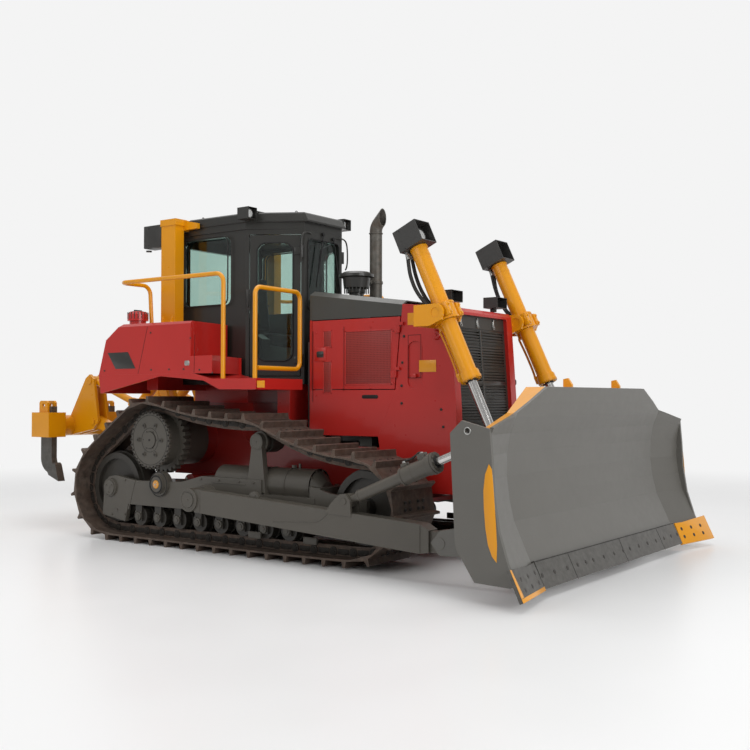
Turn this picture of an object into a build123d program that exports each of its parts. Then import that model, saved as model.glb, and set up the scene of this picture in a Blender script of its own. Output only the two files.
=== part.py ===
"""Crawler bulldozer with elevated sprockets, semi-U blade and rear ripper.

Frame: +X forward, +Y to the machine's left, +Z up, millimetres.
Origin: on the ground, on the centreline, midway between blade tips and ripper beam.
"""
from build123d import *
from math import atan2, cos, hypot, pi, radians, sin, sqrt
import os

os.makedirs("parts", exist_ok=True)

# ---------------------------------------------------------------- clearances
SEAT = 0.3            # flat and round faces that meet at rest
RUNNING_GAP = 6.0     # beside an eye that swings between lugs
PIN_GAP = 0.4         # radial play of a pin in its eye
DOOR_GAP = 8.0        # round a door in its frame

# -------------------------------------------------------------------- tracks
TRACK_GAUGE = 1980.0      # between the two track centres
SHOE_WIDTH = 610.0
SHOE_COUNT = 42
GROUSER_HEIGHT = 55.0
GROUSER_WIDTH = 22.0
SHOE_THICKNESS = 16.0
PIN_TO_SHOE = 34.0        # from the pin centre to the shoe's inner face
PIN_TO_RAIL = 54.0        # from the pin centre to the rail the rollers run on
RAIL_WIDTH = 44.0
RAIL_SPREAD = 96.0        # from the track's centre to each rail's centre
BUSHING_RADIUS = 33.0
TRACK_Y = TRACK_GAUGE / 2
PIN_HEIGHT = GROUSER_HEIGHT + SHOE_THICKNESS + PIN_TO_SHOE
REAR_IDLER_X = -1718.0
REAR_IDLER_TREAD = 361.0
FRONT_IDLER_X = 1433.0
FRONT_IDLER_TREAD = 331.0
FRONT_IDLER_RAISE = 11.0  # the front idler is carried a little off the ground
SPROCKET_X = -1140.0
SPROCKET_Z = 1012.0
SPROCKET_PITCH_RADIUS = 346.0
SPROCKET_WIDTH = 76.0
CARRIER_X = 260.0
CARRIER_Z = 1030.0
CARRIER_TREAD = 100.0
REAR_SAG = 55.0           # of the run from sprocket to carrier roller
FRONT_SAG = 80.0          # of the run from carrier roller to front idler
ROLLER_TREAD = 92.0
ROLLER_FIRST_X = -1325.0
ROLLER_STEP = 278.0
ROLLER_COUNT = 8
ROLLER_LAST_X = ROLLER_FIRST_X + ROLLER_STEP * (ROLLER_COUNT - 1)
ROLLER_FLANGE = 14.0
IDLER_FLANGE = 18.0
ROLLER_Z = PIN_HEIGHT + PIN_TO_RAIL + ROLLER_TREAD + SEAT

# -------------------------------------------------------------- track frames
FRAME_OUTER_Y = TRACK_Y + 200
FRAME_INNER_Y = TRACK_Y - 190
DRIVE_INNER_Y = TRACK_Y - 350
PIVOT_X = -985.0          # the shaft the track frames swing on
PIVOT_Z = 588.0
PIVOT_CAP_RADIUS = 92.0
RECOIL_Z = 645.0
RECOIL_RADIUS = 152.0

# ----------------------------------------------------------------- push arms
TRUNNION_X = -328.0
TRUNNION_Z = 492.0
TRUNNION_RADIUS = 70.0
ARM_INNER_Y = TRACK_Y + SHOE_WIDTH / 2 + 15
ARM_OUTER_Y = ARM_INNER_Y + 130
ARM_PIN_X = 2395.0        # front pins, on which the blade pitches
ARM_PIN_Z = 322.0
ARM_PIN_RADIUS = 45.0
ARM_EYE_RADIUS = 98.0
BRACKET_PIN_X = 1465.0    # lower pins of the tilt cylinders
BRACKET_PIN_Z = 585.0
EYE_OUTER_Y = ARM_OUTER_Y - 25    # the arms' front eyes
EYE_INNER_Y = ARM_INNER_Y + 25
TILT_Y = ARM_INNER_Y + 72
TILT_EYE_X = 2560.0       # upper pins of the tilt cylinders
TILT_EYE_Z = 1030.0
TILT_RADIUS = 72.0
TILT_PIN_RADIUS = 28.0
TILT_EYE_HALF = 34.0      # half the width of each eye

# --------------------------------------------------------------------- blade
BLADE_HALF = 1900.0       # to the outside of the end plates
WING_START_Y = 1420.0     # the moldboard is straight inside this
WING_ADVANCE = 95.0       # how far the wing's end stands forward
MOLDBOARD_THICKNESS = 28.0
SPILL_Z = 1515.0
SPILL_HALF = 975.0
SHOULDER_Z = 1319.0
CORNER_Z = 1220.0

# ------------------------------------------------------------ lift cylinders
LIFT_Y = 708.0
YOKE_X = 1976.0
YOKE_Z = 2143.0
LIFT_EYE_X = 2685.0
LIFT_EYE_Z = 600.0
LIFT_RADIUS = 74.0
LIFT_ABOVE_YOKE = 640.0
LIFT_BELOW_YOKE = 627.0
LIFT_ROD_RADIUS = 40.0
LIFT_EYE_HALF = 45.0
YOKE_PIN_RADIUS = 42.0

# ------------------------------------------------------------- hood and guard
HOOD_HALF = 550.0
HOOD_REAR_X = 367.0
HOOD_FRONT_X = 1433.0
GUARD_FRONT_X = 1980.0
GUARD_BOTTOM_Z = 600.0

# ----------------------------------------------------------------------- cab
CAB_FRONT_X = 90.0
CAB_FRONT_HALF = 300.0
CAB_BEND_X = -410.0
CAB_BEND_HALF = 610.0
CAB_REAR_X = -1340.0
CAB_REAR_HALF = 630.0
CAB_WALL = 60.0
CAB_FLOOR_Z = 1560.0
CAB_FLOOR_THICKNESS = 40.0
ROOF_UNDER_Z = 3100.0
ROOF_TOP_Z = ROOF_UNDER_Z + 168

# ------------------------------------------------------------------- fenders
FENDER_OUTER_Y = 1295.0
FENDER_INNER_Y = 650.0
DECK_Z = 1605.0           # top of the platform beside the cab
DECK_THICKNESS = 98.0

# -------------------------------------------------------------------- ripper
RIPPER_REAR_X = -3393.8     # as far behind the origin as the blade's tips are ahead of it
RIPPER_HALF = 937.0
BEAM_Z = 1112.0
LINK_FRONT_X = -2080.0    # lower links' pins on the machine
LINK_FRONT_Z = 900.0
LINK_REAR_X = -2806.0     # lower links' pins on the beam
LINK_REAR_Z = 1162.0
TOWER_PIN_X = -2868.0     # upper links' pins on the beam
TOWER_PIN_Z = 1619.0
RIPPER_LIFT_X = -2010.0   # lift cylinders' pins on the machine
RIPPER_LIFT_Z = 1680.0


# ------------------------------------------------------------------- helpers
def slab_y(points, y_low, y_high, mode=Mode.ADD):
    """Side profile, a list of (x, z), as thick as from y_low to y_high."""
    with BuildSketch(Plane.XZ.offset(-y_high)) as profile:
        with BuildLine():
            Polyline(*points, close=True)
        make_face()
    extrude(profile.sketch, amount=y_high - y_low, mode=mode)


def slab_z(points, z_low, z_high, mode=Mode.ADD):
    """Plan profile, a list of (x, y), standing from z_low to z_high."""
    with BuildSketch(Plane.XY.offset(z_low)) as profile:
        with BuildLine():
            Polyline(*points, close=True)
        make_face()
    extrude(profile.sketch, amount=z_high - z_low, mode=mode)


def slab_x(points, x_low, x_high, mode=Mode.ADD):
    """Cross-section, a list of (y, z), as long as from x_low to x_high."""
    with BuildSketch(Plane.YZ.offset(x_low)) as profile:
        with BuildLine():
            Polyline(*points, close=True)
        make_face()
    extrude(profile.sketch, amount=x_high - x_low, mode=mode)


def block(x_low, x_high, y_low, y_high, z_low, z_high, mode=Mode.ADD):
    """Rectangular block between two corners."""
    slab_z([(x_low, y_low), (x_high, y_low), (x_high, y_high), (x_low, y_high)], z_low, z_high, mode)


def disc_y(x, z, radius, y_low, y_high, mode=Mode.ADD):
    """Round boss, pin or wheel whose axis is along Y."""
    with BuildSketch(Plane.XZ.offset(-y_high)) as profile:
        with Locations((x, z)):
            Circle(radius)
    extrude(profile.sketch, amount=y_high - y_low, mode=mode)


def round_bar(start, end, radius, mode=Mode.ADD):
    """Round bar from one point to another."""
    axis = Vector(*end) - Vector(*start)
    with BuildSketch(Plane(origin=start, z_dir=axis)) as profile:
        Circle(radius)
    extrude(profile.sketch, amount=axis.length, mode=mode)


def bent_tube(points, bend_radius, radius):
    """Round tube along straight runs joined by bends."""
    with BuildLine() as path:
        FilletPolyline(*points, radius=bend_radius)
    first_run = Vector(*points[1]) - Vector(*points[0])
    with BuildSketch(Plane(origin=points[0], z_dir=first_run)) as section:
        Circle(radius)
    sweep(section.sketch, path=path.wire())


def turned(points, x, y):
    """Body of revolution about an upright axis, from a closed half profile of (radius, z)."""
    with BuildSketch(Plane(origin=(x, y, 0), x_dir=(1, 0, 0), z_dir=(0, -1, 0))) as half:
        with BuildLine():
            Polyline(*points, close=True)
        make_face()
    revolve(half.sketch, axis=Axis((x, y, 0), (0, 0, 1)))


def toothed_rim(x, z, count, root, tip, root_share, tip_share):
    """Outline of equal teeth round a centre; the shares are half widths in parts of a tooth's pitch."""
    outline = []
    for tooth in range(count):
        for share, radius in ((-root_share, root), (-tip_share, tip), (tip_share, tip), (root_share, root)):
            angle = 2 * pi * (tooth + share) / count
            outline.append((x + radius * cos(angle), z + radius * sin(angle)))
    return outline


def mirrored(piece):
    """The same piece on the machine's other side."""
    return mirror(piece, about=Plane.XZ, mode=Mode.PRIVATE)


# --------------------------------------------------------- track centre line
def tangent_angle(a, b):
    """Angle of the outward normal where one line touches both circles, travelling with them on its left."""
    (ax, az, ar), (bx, bz, br) = a, b
    span = hypot(bx - ax, bz - az)
    heading = atan2(bz - az, bx - ax)
    return heading - pi / 2 + atan2(ar - br, sqrt(span * span - (ar - br) ** 2))


REAR_IDLER_Z = PIN_HEIGHT + PIN_TO_RAIL + REAR_IDLER_TREAD
FRONT_IDLER_Z = PIN_HEIGHT + PIN_TO_RAIL + FRONT_IDLER_TREAD + FRONT_IDLER_RAISE
PITCH_CIRCLES = [         # (x, z, radius to the pins), anticlockwise seen from the right side
    (REAR_IDLER_X, REAR_IDLER_Z, REAR_IDLER_TREAD + PIN_TO_RAIL),
    (ROLLER_LAST_X, PIN_HEIGHT + PIN_TO_RAIL + ROLLER_TREAD, ROLLER_TREAD + PIN_TO_RAIL),
    (FRONT_IDLER_X, FRONT_IDLER_Z, FRONT_IDLER_TREAD + PIN_TO_RAIL),
    (CARRIER_X, CARRIER_Z, CARRIER_TREAD + PIN_TO_RAIL),
    (SPROCKET_X, SPROCKET_Z, SPROCKET_PITCH_RADIUS),
]
RUN_SAGS = [0.0, 0.0, FRONT_SAG, REAR_SAG, 0.0]


def pitch_line():
    """Dense points along the line of the pins, all round the track."""
    points = []
    count = len(PITCH_CIRCLES)
    touching = [tangent_angle(PITCH_CIRCLES[i], PITCH_CIRCLES[(i + 1) % count]) for i in range(count)]
    for i, (x, z, radius) in enumerate(PITCH_CIRCLES):
        start = touching[i - 1]
        turn = (touching[i] - start) % (2 * pi)
        if turn > 1.9 * pi:
            turn -= 2 * pi
        for step in range(61):
            angle = start + turn * step / 60
            points.append((x + radius * cos(angle), z + radius * sin(angle)))
        nx, nz, next_radius = PITCH_CIRCLES[(i + 1) % count]
        end = (nx + next_radius * cos(touching[i]), nz + next_radius * sin(touching[i]))
        begin = points[-1]
        for step in range(1, 80):
            share = step / 80
            sag = 4 * RUN_SAGS[i] * share * (1 - share)
            points.append((
                begin[0] + (end[0] - begin[0]) * share - sag * cos(touching[i]),
                begin[1] + (end[1] - begin[1]) * share - sag * sin(touching[i]),
            ))
    return points


def evenly_spaced(points, count):
    """The given number of points at equal distances along a closed line."""
    lengths = [hypot(b[0] - a[0], b[1] - a[1]) for a, b in zip(points, points[1:] + points[:1])]
    pitch = sum(lengths) / count
    spaced = []
    travelled = 0.0
    wanted = 0.0
    for index, length in enumerate(lengths):
        a = points[index]
        b = points[(index + 1) % len(points)]
        while len(spaced) < count and wanted < travelled + length:
            share = (wanted - travelled) / length
            spaced.append((a[0] + (b[0] - a[0]) * share, a[1] + (b[1] - a[1]) * share))
            wanted += pitch
        travelled += length
    return spaced, pitch


PINS, LINK_PITCH = evenly_spaced(pitch_line(), SHOE_COUNT)


def along_links(profile):
    """Repeat a profile of (share along the link, height outside the pins) round the whole track."""
    outline = []
    for index, (x, z) in enumerate(PINS):
        nx, nz = PINS[(index + 1) % SHOE_COUNT]
        length = hypot(nx - x, nz - z)
        ux, uz = (nx - x) / length, (nz - z) / length
        for share, height in profile:
            outline.append((x + ux * share * length + uz * height, z + uz * share * length - ux * height))
    return outline


SHOE_OUT = PIN_TO_SHOE + SHOE_THICKNESS
GROUSER_SHARE = GROUSER_WIDTH / LINK_PITCH
SHOE_PROFILE = [          # (share along the link, height outside the pins)
    (0.06, SHOE_OUT),
    (0.10, SHOE_OUT + GROUSER_HEIGHT),
    (0.10 + GROUSER_SHARE, SHOE_OUT + GROUSER_HEIGHT),
    (0.16 + GROUSER_SHARE, SHOE_OUT),
]

# ------------------------------------------------------------------- tracks
with BuildPart() as link_rails:
    for rail_side in (-1, 1):
        rail_y = -TRACK_Y + rail_side * RAIL_SPREAD
        slab_y(along_links([(0.5, PIN_TO_SHOE + 2)]), rail_y - RAIL_WIDTH / 2, rail_y + RAIL_WIDTH / 2)
    slab_y(
        along_links([(0.0, -PIN_TO_RAIL)]),
        -TRACK_Y - SHOE_WIDTH / 2, -TRACK_Y + SHOE_WIDTH / 2, Mode.SUBTRACT,
    )

with BuildPart() as track_right:
    slab_y(along_links(SHOE_PROFILE), -TRACK_Y - SHOE_WIDTH / 2, -TRACK_Y + SHOE_WIDTH / 2)
    slab_y(
        along_links([(0.5, PIN_TO_SHOE)]),
        -TRACK_Y - SHOE_WIDTH / 2, -TRACK_Y + SHOE_WIDTH / 2, Mode.SUBTRACT,
    )
    add(link_rails.part)
track_right.part.label = "track_right"


# ------------------------------------------------------------- undercarriage
# The track frame is one box beam. Behind, a cheek plate carries the rear idler; in front, the
# recoil spring's tube carries the front idler's fork.
FRAME_Y = (FRAME_OUTER_Y + FRAME_INNER_Y) / 2
FRAME_TOP_Z = 690.0
FRAME_BOTTOM_Z = ROLLER_Z + ROLLER_TREAD + ROLLER_FLANGE + 8
CHEEK_THICKNESS = 45.0
FRAME_REAR_X = REAR_IDLER_X + REAR_IDLER_TREAD + 60   # the box beam ends ahead of the idler
FORK_TIP_X = FRONT_IDLER_X + 75
IDLER_BOSS_RADIUS = 92.0

with BuildPart() as track_frame_right:
    slab_y(
        [
            (FRAME_REAR_X, FRAME_BOTTOM_Z), (950, FRAME_BOTTOM_Z), (950, 560), (330, 560), (330, FRAME_TOP_Z),
            (-430, FRAME_TOP_Z), (-700, 622), (FRAME_REAR_X, 605),
        ],
        -FRAME_OUTER_Y, -FRAME_INNER_Y,
    )
    for cheek_low in (-FRAME_OUTER_Y, -FRAME_INNER_Y - CHEEK_THICKNESS):
        slab_y(
            [
                (FRAME_REAR_X + 60, 606), (-1353, 606), (-1640, 645), (-1745, 628), (-1815, 560), (-1841, 240),
                (-1500, 190), (-1455, FRAME_BOTTOM_Z), (FRAME_REAR_X + 60, FRAME_BOTTOM_Z),
            ],
            cheek_low, cheek_low + CHEEK_THICKNESS,
        )
    with BuildSketch(Plane.YZ.offset(-300)) as recoil_section:
        with Locations((-FRAME_Y, RECOIL_Z)):
            Circle(RECOIL_RADIUS)
    extrude(recoil_section.sketch, amount=1150)
    with BuildSketch(Plane.YZ.offset(850)) as fork_root:
        with Locations((-FRAME_Y, RECOIL_Z)):
            Circle(RECOIL_RADIUS - 12)
    with BuildSketch(Plane.YZ.offset(940)) as fork_neck:
        with Locations((-FRAME_Y, 600)):
            Circle(90)
    loft([fork_root.sketch.face(), fork_neck.sketch.face()])
    for fork_low in (-FRAME_Y - 190, -FRAME_Y + 150):
        slab_y(
            [
                (900, 660), (1120, 610), (FORK_TIP_X, FRONT_IDLER_Z + 70), (FORK_TIP_X, FRONT_IDLER_Z - 70),
                (1120, 440), (900, 500),
            ],
            fork_low, fork_low + 40,
        )
    block(890, 1010, -FRAME_Y - 190, -FRAME_Y + 190, 500, 650)
    disc_y(REAR_IDLER_X, REAR_IDLER_Z, IDLER_BOSS_RADIUS, -FRAME_OUTER_Y - 18, -FRAME_OUTER_Y + 1)
    disc_y(PIVOT_X, PIVOT_Z, PIVOT_CAP_RADIUS + 30, -FRAME_OUTER_Y - 25, -FRAME_OUTER_Y + CHEEK_THICKNESS)
    disc_y(PIVOT_X, PIVOT_Z, PIVOT_CAP_RADIUS, -FRAME_OUTER_Y - 60, -FRAME_OUTER_Y)
    disc_y(TRUNNION_X, TRUNNION_Z, TRUNNION_RADIUS + 55, -ARM_INNER_Y + RUNNING_GAP, -FRAME_OUTER_Y)
    disc_y(TRUNNION_X, TRUNNION_Z, TRUNNION_RADIUS, -ARM_OUTER_Y, -FRAME_OUTER_Y)
    slab_y([(150, FRAME_TOP_Z - 30), (370, 560), (320, CARRIER_Z - 40), (200, CARRIER_Z - 40)],
           -TRACK_Y - 185, -TRACK_Y - 125)
track_frame_right.part.label = "track_frame_right"

def seat_radius(x, z):
    """Radius at which a wheel just meets the chain's rails."""
    rail = along_links([(0.0, -PIN_TO_RAIL)])
    nearest = 1e9
    for (ax, az), (bx, bz) in zip(rail, rail[1:] + rail[:1]):
        length = hypot(bx - ax, bz - az)
        share = ((x - ax) * (bx - ax) + (z - az) * (bz - az)) / length ** 2
        share = min(max(share, 0), 1)
        nearest = min(nearest, hypot(ax + (bx - ax) * share - x, az + (bz - az) * share - z))
    return nearest - SEAT


FLANGE_HALF = RAIL_SPREAD - RAIL_WIDTH / 2 - 6
with BuildPart() as track_wheels_right:
    for number in range(ROLLER_COUNT):
        roller_x = ROLLER_FIRST_X + ROLLER_STEP * number
        disc_y(roller_x, ROLLER_Z, seat_radius(roller_x, ROLLER_Z), -TRACK_Y - 150, -TRACK_Y + 150)
        disc_y(roller_x, ROLLER_Z, ROLLER_TREAD + ROLLER_FLANGE, -TRACK_Y - FLANGE_HALF, -TRACK_Y + FLANGE_HALF)
        for bracket_y in (-TRACK_Y - 175, -TRACK_Y + 150):
            block(
                roller_x - 45, roller_x + 45, bracket_y, bracket_y + 25, ROLLER_Z - 45, FRAME_BOTTOM_Z - SEAT,
            )
    for idler_x, idler_z in ((REAR_IDLER_X, REAR_IDLER_Z), (FRONT_IDLER_X, FRONT_IDLER_Z)):
        tread = seat_radius(idler_x, idler_z)
        disc_y(idler_x, idler_z, tread, -TRACK_Y - 120, -TRACK_Y + 120)
        disc_y(idler_x, idler_z, tread + IDLER_FLANGE, -TRACK_Y - FLANGE_HALF, -TRACK_Y + FLANGE_HALF)
        for face_y, depth in ((-TRACK_Y - 120, 45), (-TRACK_Y + 75, 45)):
            disc_y(idler_x, idler_z, tread - 60, face_y, face_y + depth, Mode.SUBTRACT)
        disc_y(idler_x, idler_z, 85, -FRAME_Y - 150 + SEAT, -FRAME_Y + 150 - SEAT)
    disc_y(CARRIER_X, CARRIER_Z, seat_radius(CARRIER_X, CARRIER_Z), -TRACK_Y - 124, -TRACK_Y + 118)
    disc_y(CARRIER_X, CARRIER_Z, CARRIER_TREAD, -TRACK_Y - FLANGE_HALF, -TRACK_Y + FLANGE_HALF)
track_wheels_right.part.label = "track_wheels_right"

# The final drive's drum passes through the sprocket; its cover, with a pad round each rim bolt,
# shows outside.
SPROCKET_TEETH = 31
TOOTH_TIP_RADIUS = SPROCKET_PITCH_RADIUS - 14     # inside the shoes' inner faces
TOOTH_ROOT_RADIUS = SPROCKET_PITCH_RADIUS - BUSHING_RADIUS - 16
DRUM_RADIUS = 258.0
COVER_RADIUS = 286.0
COVER_BOLTS = 32
COVER_BOSSES = 6
COVER_BOSS_CIRCLE = 163.0
COVER_FACE_Y = TRACK_Y + 200
with BuildPart() as final_drive_right:
    slab_y(toothed_rim(SPROCKET_X, SPROCKET_Z, COVER_BOLTS, COVER_RADIUS - 15, COVER_RADIUS, 0.36, 0.2),
           -COVER_FACE_Y, -COVER_FACE_Y + 30)
    disc_y(SPROCKET_X, SPROCKET_Z, COVER_RADIUS - 22, -COVER_FACE_Y + 29, -COVER_FACE_Y + 70)
    disc_y(SPROCKET_X, SPROCKET_Z, 80, -COVER_FACE_Y - 9, -COVER_FACE_Y + 1)
    for boss in range(COVER_BOSSES):
        angle = 2 * pi * (boss + 0.5) / COVER_BOSSES
        disc_y(SPROCKET_X + COVER_BOSS_CIRCLE * sin(angle), SPROCKET_Z + COVER_BOSS_CIRCLE * cos(angle), 21,
               -COVER_FACE_Y - 12, -COVER_FACE_Y + 1)
    disc_y(SPROCKET_X, SPROCKET_Z, DRUM_RADIUS, -COVER_FACE_Y + 69, -DRIVE_INNER_Y)
    slab_y(
        toothed_rim(SPROCKET_X, SPROCKET_Z, SPROCKET_TEETH, TOOTH_ROOT_RADIUS, TOOTH_TIP_RADIUS, 0.4, 0.16),
        -TRACK_Y - SPROCKET_WIDTH / 2, -TRACK_Y + SPROCKET_WIDTH / 2,
    )
final_drive_right.part.label = "final_drive_right"

# ----------------------------------------------------------------- push arms
ARM_REAR_X = -262.0
with BuildPart() as push_arm_right:
    slab_y(
        [
            (ARM_REAR_X, 383), (ARM_REAR_X, 592), (ARM_PIN_X - 190, 455), (ARM_PIN_X - 110, 410),
            (ARM_PIN_X - 110, 240), (ARM_PIN_X - 190, 225),
        ],
        -ARM_OUTER_Y, -ARM_INNER_Y,
    )
    disc_y(TRUNNION_X, TRUNNION_Z, 108, -ARM_OUTER_Y - 14, -ARM_INNER_Y)
    block(ARM_PIN_X - 120, ARM_PIN_X, -EYE_OUTER_Y, -EYE_INNER_Y, 240, 404)
    disc_y(ARM_PIN_X, ARM_PIN_Z, ARM_EYE_RADIUS, -EYE_OUTER_Y, -EYE_INNER_Y)
    for lug_low in (-TILT_Y - TILT_EYE_HALF - RUNNING_GAP - 24, -TILT_Y + TILT_EYE_HALF + RUNNING_GAP):
        slab_y(
            [(1269, 480), (1540, 465), (1530, 590), (1480, 650), (1420, 640), (1330, 560)],
            lug_low, lug_low + 24,
        )
    disc_y(TRUNNION_X, TRUNNION_Z, TRUNNION_RADIUS + PIN_GAP, -ARM_OUTER_Y - 20, 0, Mode.SUBTRACT)
    disc_y(ARM_PIN_X, ARM_PIN_Z, ARM_PIN_RADIUS + PIN_GAP, -ARM_OUTER_Y, -ARM_INNER_Y, Mode.SUBTRACT)
    disc_y(BRACKET_PIN_X, BRACKET_PIN_Z, TILT_PIN_RADIUS, -TILT_Y - 70, -TILT_Y + 66)
push_arm_right.part.label = "push_arm_right"

# --------------------------------------------------------------------- blade
FOOT = Vector(3195, 0, 150)          # on the moldboard's face, behind the cutting edge
FOOT_LEAN = radians(64.5)            # of the lower face, from the ground
UP_FACE = Vector(-cos(FOOT_LEAN), 0, sin(FOOT_LEAN))
MOLDBOARD_FACE = [                   # (x, z) up the front face
    (FOOT.X, FOOT.Z), (3128, 290), (3014, 535), (2975, 695), (2955, 860), (2958, 1029), (2985, 1173),
    (3032, 1289), (3056, 1400), (3068, SPILL_Z),
]


def offset_back(points, distance):
    """The same polyline moved square to itself, towards the rear."""
    moved = []
    for index, (x, z) in enumerate(points):
        before = points[max(index - 1, 0)]
        after = points[min(index + 1, len(points) - 1)]
        dx, dz = after[0] - before[0], after[1] - before[1]
        length = hypot(dx, dz)
        moved.append((x - dz / length * distance, z + dx / length * distance))
    return moved


def moldboard_section(advance):
    """Closed section of the moldboard, moved forward by advance."""
    back = offset_back(MOLDBOARD_FACE, MOLDBOARD_THICKNESS)
    return [(x + advance, z) for x, z in MOLDBOARD_FACE + back[::-1]]


END_PLATE_THICKNESS = 30.0
WING_END_Y = BLADE_HALF - END_PLATE_THICKNESS - SEAT
WING_SLOPE = WING_ADVANCE / (WING_END_Y - WING_START_Y)


def wing_loft(section, mode=Mode.ADD):
    """Both wings of a blade section, which is a function of how far it stands forward."""
    for wing_side in (-1, 1):
        faces = []
        for wing_y, advance in ((WING_START_Y, 0), (WING_END_Y, WING_ADVANCE)):
            with BuildSketch(Plane.XZ.offset(-wing_side * wing_y)) as wing_section:
                with BuildLine():
                    Polyline(*section(advance), close=True)
                make_face()
            faces.append(wing_section.sketch.face())
        loft(faces, ruled=True, mode=mode)


def ahead_of_back(advance):
    """Closed section of all that stands ahead of the moldboard's back."""
    back = [(x + advance, z) for x, z in offset_back(MOLDBOARD_FACE, MOLDBOARD_THICKNESS + SEAT)]
    front_x = max(x for x, z in back) + 400
    return [(back[0][0], 0)] + back + [(back[-1][0], 2 * SPILL_Z), (front_x, 2 * SPILL_Z), (front_x, 0)]


with BuildPart() as moldboard:
    slab_y(moldboard_section(0), -WING_START_Y, WING_START_Y)
    wing_loft(moldboard_section)
    for top_side in (-1, 1):
        slab_x(
            [
                (top_side * SPILL_HALF, SPILL_Z + 60), (top_side * SPILL_HALF, SPILL_Z),
                (top_side * WING_START_Y, SHOULDER_Z), (top_side * BLADE_HALF, CORNER_Z),
                (top_side * (BLADE_HALF + 60), SPILL_Z + 60),
            ],
            2800, 3500, Mode.SUBTRACT,
        )
moldboard.part.label = "moldboard"

BOX_BACK_X = 2835.0
LUG_THICKNESS = 30.0
FLANGE_THICKNESS = 18.0
FLANGE_REAR_X = 2880.0    # behind the spill plate
FLANGE_END_X = 3030.0     # at the end plates
FIN_Y = 484.0             # gussets that stand above the spill plate
FIN_RISE = 75.0
with BuildPart() as blade_frame:
    top_line = [(0, SPILL_Z, FLANGE_REAR_X), (SPILL_HALF, SPILL_Z, FLANGE_REAR_X),
                (WING_START_Y, SHOULDER_Z, FLANGE_REAR_X + 75), (WING_END_Y - SEAT, CORNER_Z + 4, FLANGE_END_X)]
    for flange_side in (-1, 1):
        for begin, end in zip(top_line, top_line[1:]):
            faces = []
            for y, z, rear_x in (begin, end):
                with BuildSketch(Plane.XZ.offset(-flange_side * y)) as flange_section:
                    with BuildLine():
                        Polyline((rear_x, z), (3200, z), (3200, z - FLANGE_THICKNESS), (rear_x, z - FLANGE_THICKNESS),
                                 close=True)
                    make_face()
                faces.append(flange_section.sketch.face())
            loft(faces, ruled=True)
        slab_y([(FLANGE_REAR_X + 85, SPILL_Z - 90), (FLANGE_REAR_X + 85, SPILL_Z + FIN_RISE - 8),
                (FLANGE_REAR_X + 125, SPILL_Z + FIN_RISE), (3068 - MOLDBOARD_THICKNESS, SPILL_Z + 22),
                (3068 - MOLDBOARD_THICKNESS, SPILL_Z - 90)],
               flange_side * FIN_Y - 14, flange_side * FIN_Y + 14)
        for rib_y in (FIN_Y, SPILL_HALF - 14):
            slab_y([(FLANGE_REAR_X + 5, SPILL_Z - 5), (BOX_BACK_X + 40, 1079), (3100, 1079), (3100, SPILL_Z - 5)],
                   flange_side * rib_y - 14, flange_side * rib_y + 14)
    block(BOX_BACK_X, 3200, -WING_START_Y, WING_START_Y, 250, 560)
    block(BOX_BACK_X, 3100, -1455, 1455, 930, 1080)
    for rib_y in (-1375, -LIFT_Y, 0, LIFT_Y, 1375):
        block(BOX_BACK_X + 20, 3100, rib_y - 40, rib_y + 40, 560, 930)
    for lug_side in (-1, 1):
        for lug_y in (LIFT_Y - LIFT_EYE_HALF - RUNNING_GAP - LUG_THICKNESS, LIFT_Y + LIFT_EYE_HALF + RUNNING_GAP):
            low = lug_y if lug_side > 0 else -lug_y - LUG_THICKNESS
            slab_y(
                [(BOX_BACK_X + 10, 400), (BOX_BACK_X + 60, 860), (LIFT_EYE_X - 30, 690), (LIFT_EYE_X - 80, 600),
                 (LIFT_EYE_X - 60, 520)],
                low, low + LUG_THICKNESS,
            )
        for lug_y in (EYE_INNER_Y - RUNNING_GAP - LUG_THICKNESS, EYE_OUTER_Y + RUNNING_GAP):
            low = lug_y if lug_side > 0 else -lug_y - LUG_THICKNESS
            slab_y(
                [(BOX_BACK_X + 10, 250), (BOX_BACK_X + 10, 520), (ARM_PIN_X, ARM_PIN_Z + 95),
                 (ARM_PIN_X - 85, ARM_PIN_Z), (ARM_PIN_X, ARM_PIN_Z - 95)],
                low, low + LUG_THICKNESS,
            )
        for lug_y in (TILT_Y - TILT_EYE_HALF - RUNNING_GAP - LUG_THICKNESS, TILT_Y + TILT_EYE_HALF + RUNNING_GAP):
            low = lug_y if lug_side > 0 else -lug_y - LUG_THICKNESS
            slab_y(
                [(BOX_BACK_X + 10, 930), (BOX_BACK_X + 10, 1080), (TILT_EYE_X, TILT_EYE_Z + 70),
                 (TILT_EYE_X - 60, TILT_EYE_Z), (TILT_EYE_X, TILT_EYE_Z - 70)],
                low, low + LUG_THICKNESS,
            )
        pin_y = lug_side * (EYE_INNER_Y + EYE_OUTER_Y) / 2
        disc_y(ARM_PIN_X, ARM_PIN_Z, ARM_PIN_RADIUS, pin_y - 80, pin_y + 80)
    slab_y(ahead_of_back(0), -WING_START_Y, WING_START_Y, Mode.SUBTRACT)
    wing_loft(ahead_of_back, Mode.SUBTRACT)
blade_frame.part.label = "blade_frame"

with BuildPart() as end_plate_right:
    slab_y(
        [
            (2763, 1182), (2859, 1272), (3082, 1215), (3100, 1000), (3112, 760), (3150, 520),
            (3128 + WING_ADVANCE, 290), (FOOT.X + WING_ADVANCE - 4, FOOT.Z + 6), (3240, 140), (2960, 150), (2804, 382),
        ],
        -BLADE_HALF, -WING_END_Y - SEAT,
    )
    disc_y(2906, 1200, 22, -BLADE_HALF - 1, -BLADE_HALF + 40, Mode.SUBTRACT)

with BuildPart() as end_plates:
    add(end_plate_right.part)
    add(mirrored(end_plate_right.part))
end_plates.part.label = "end_plates"

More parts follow.
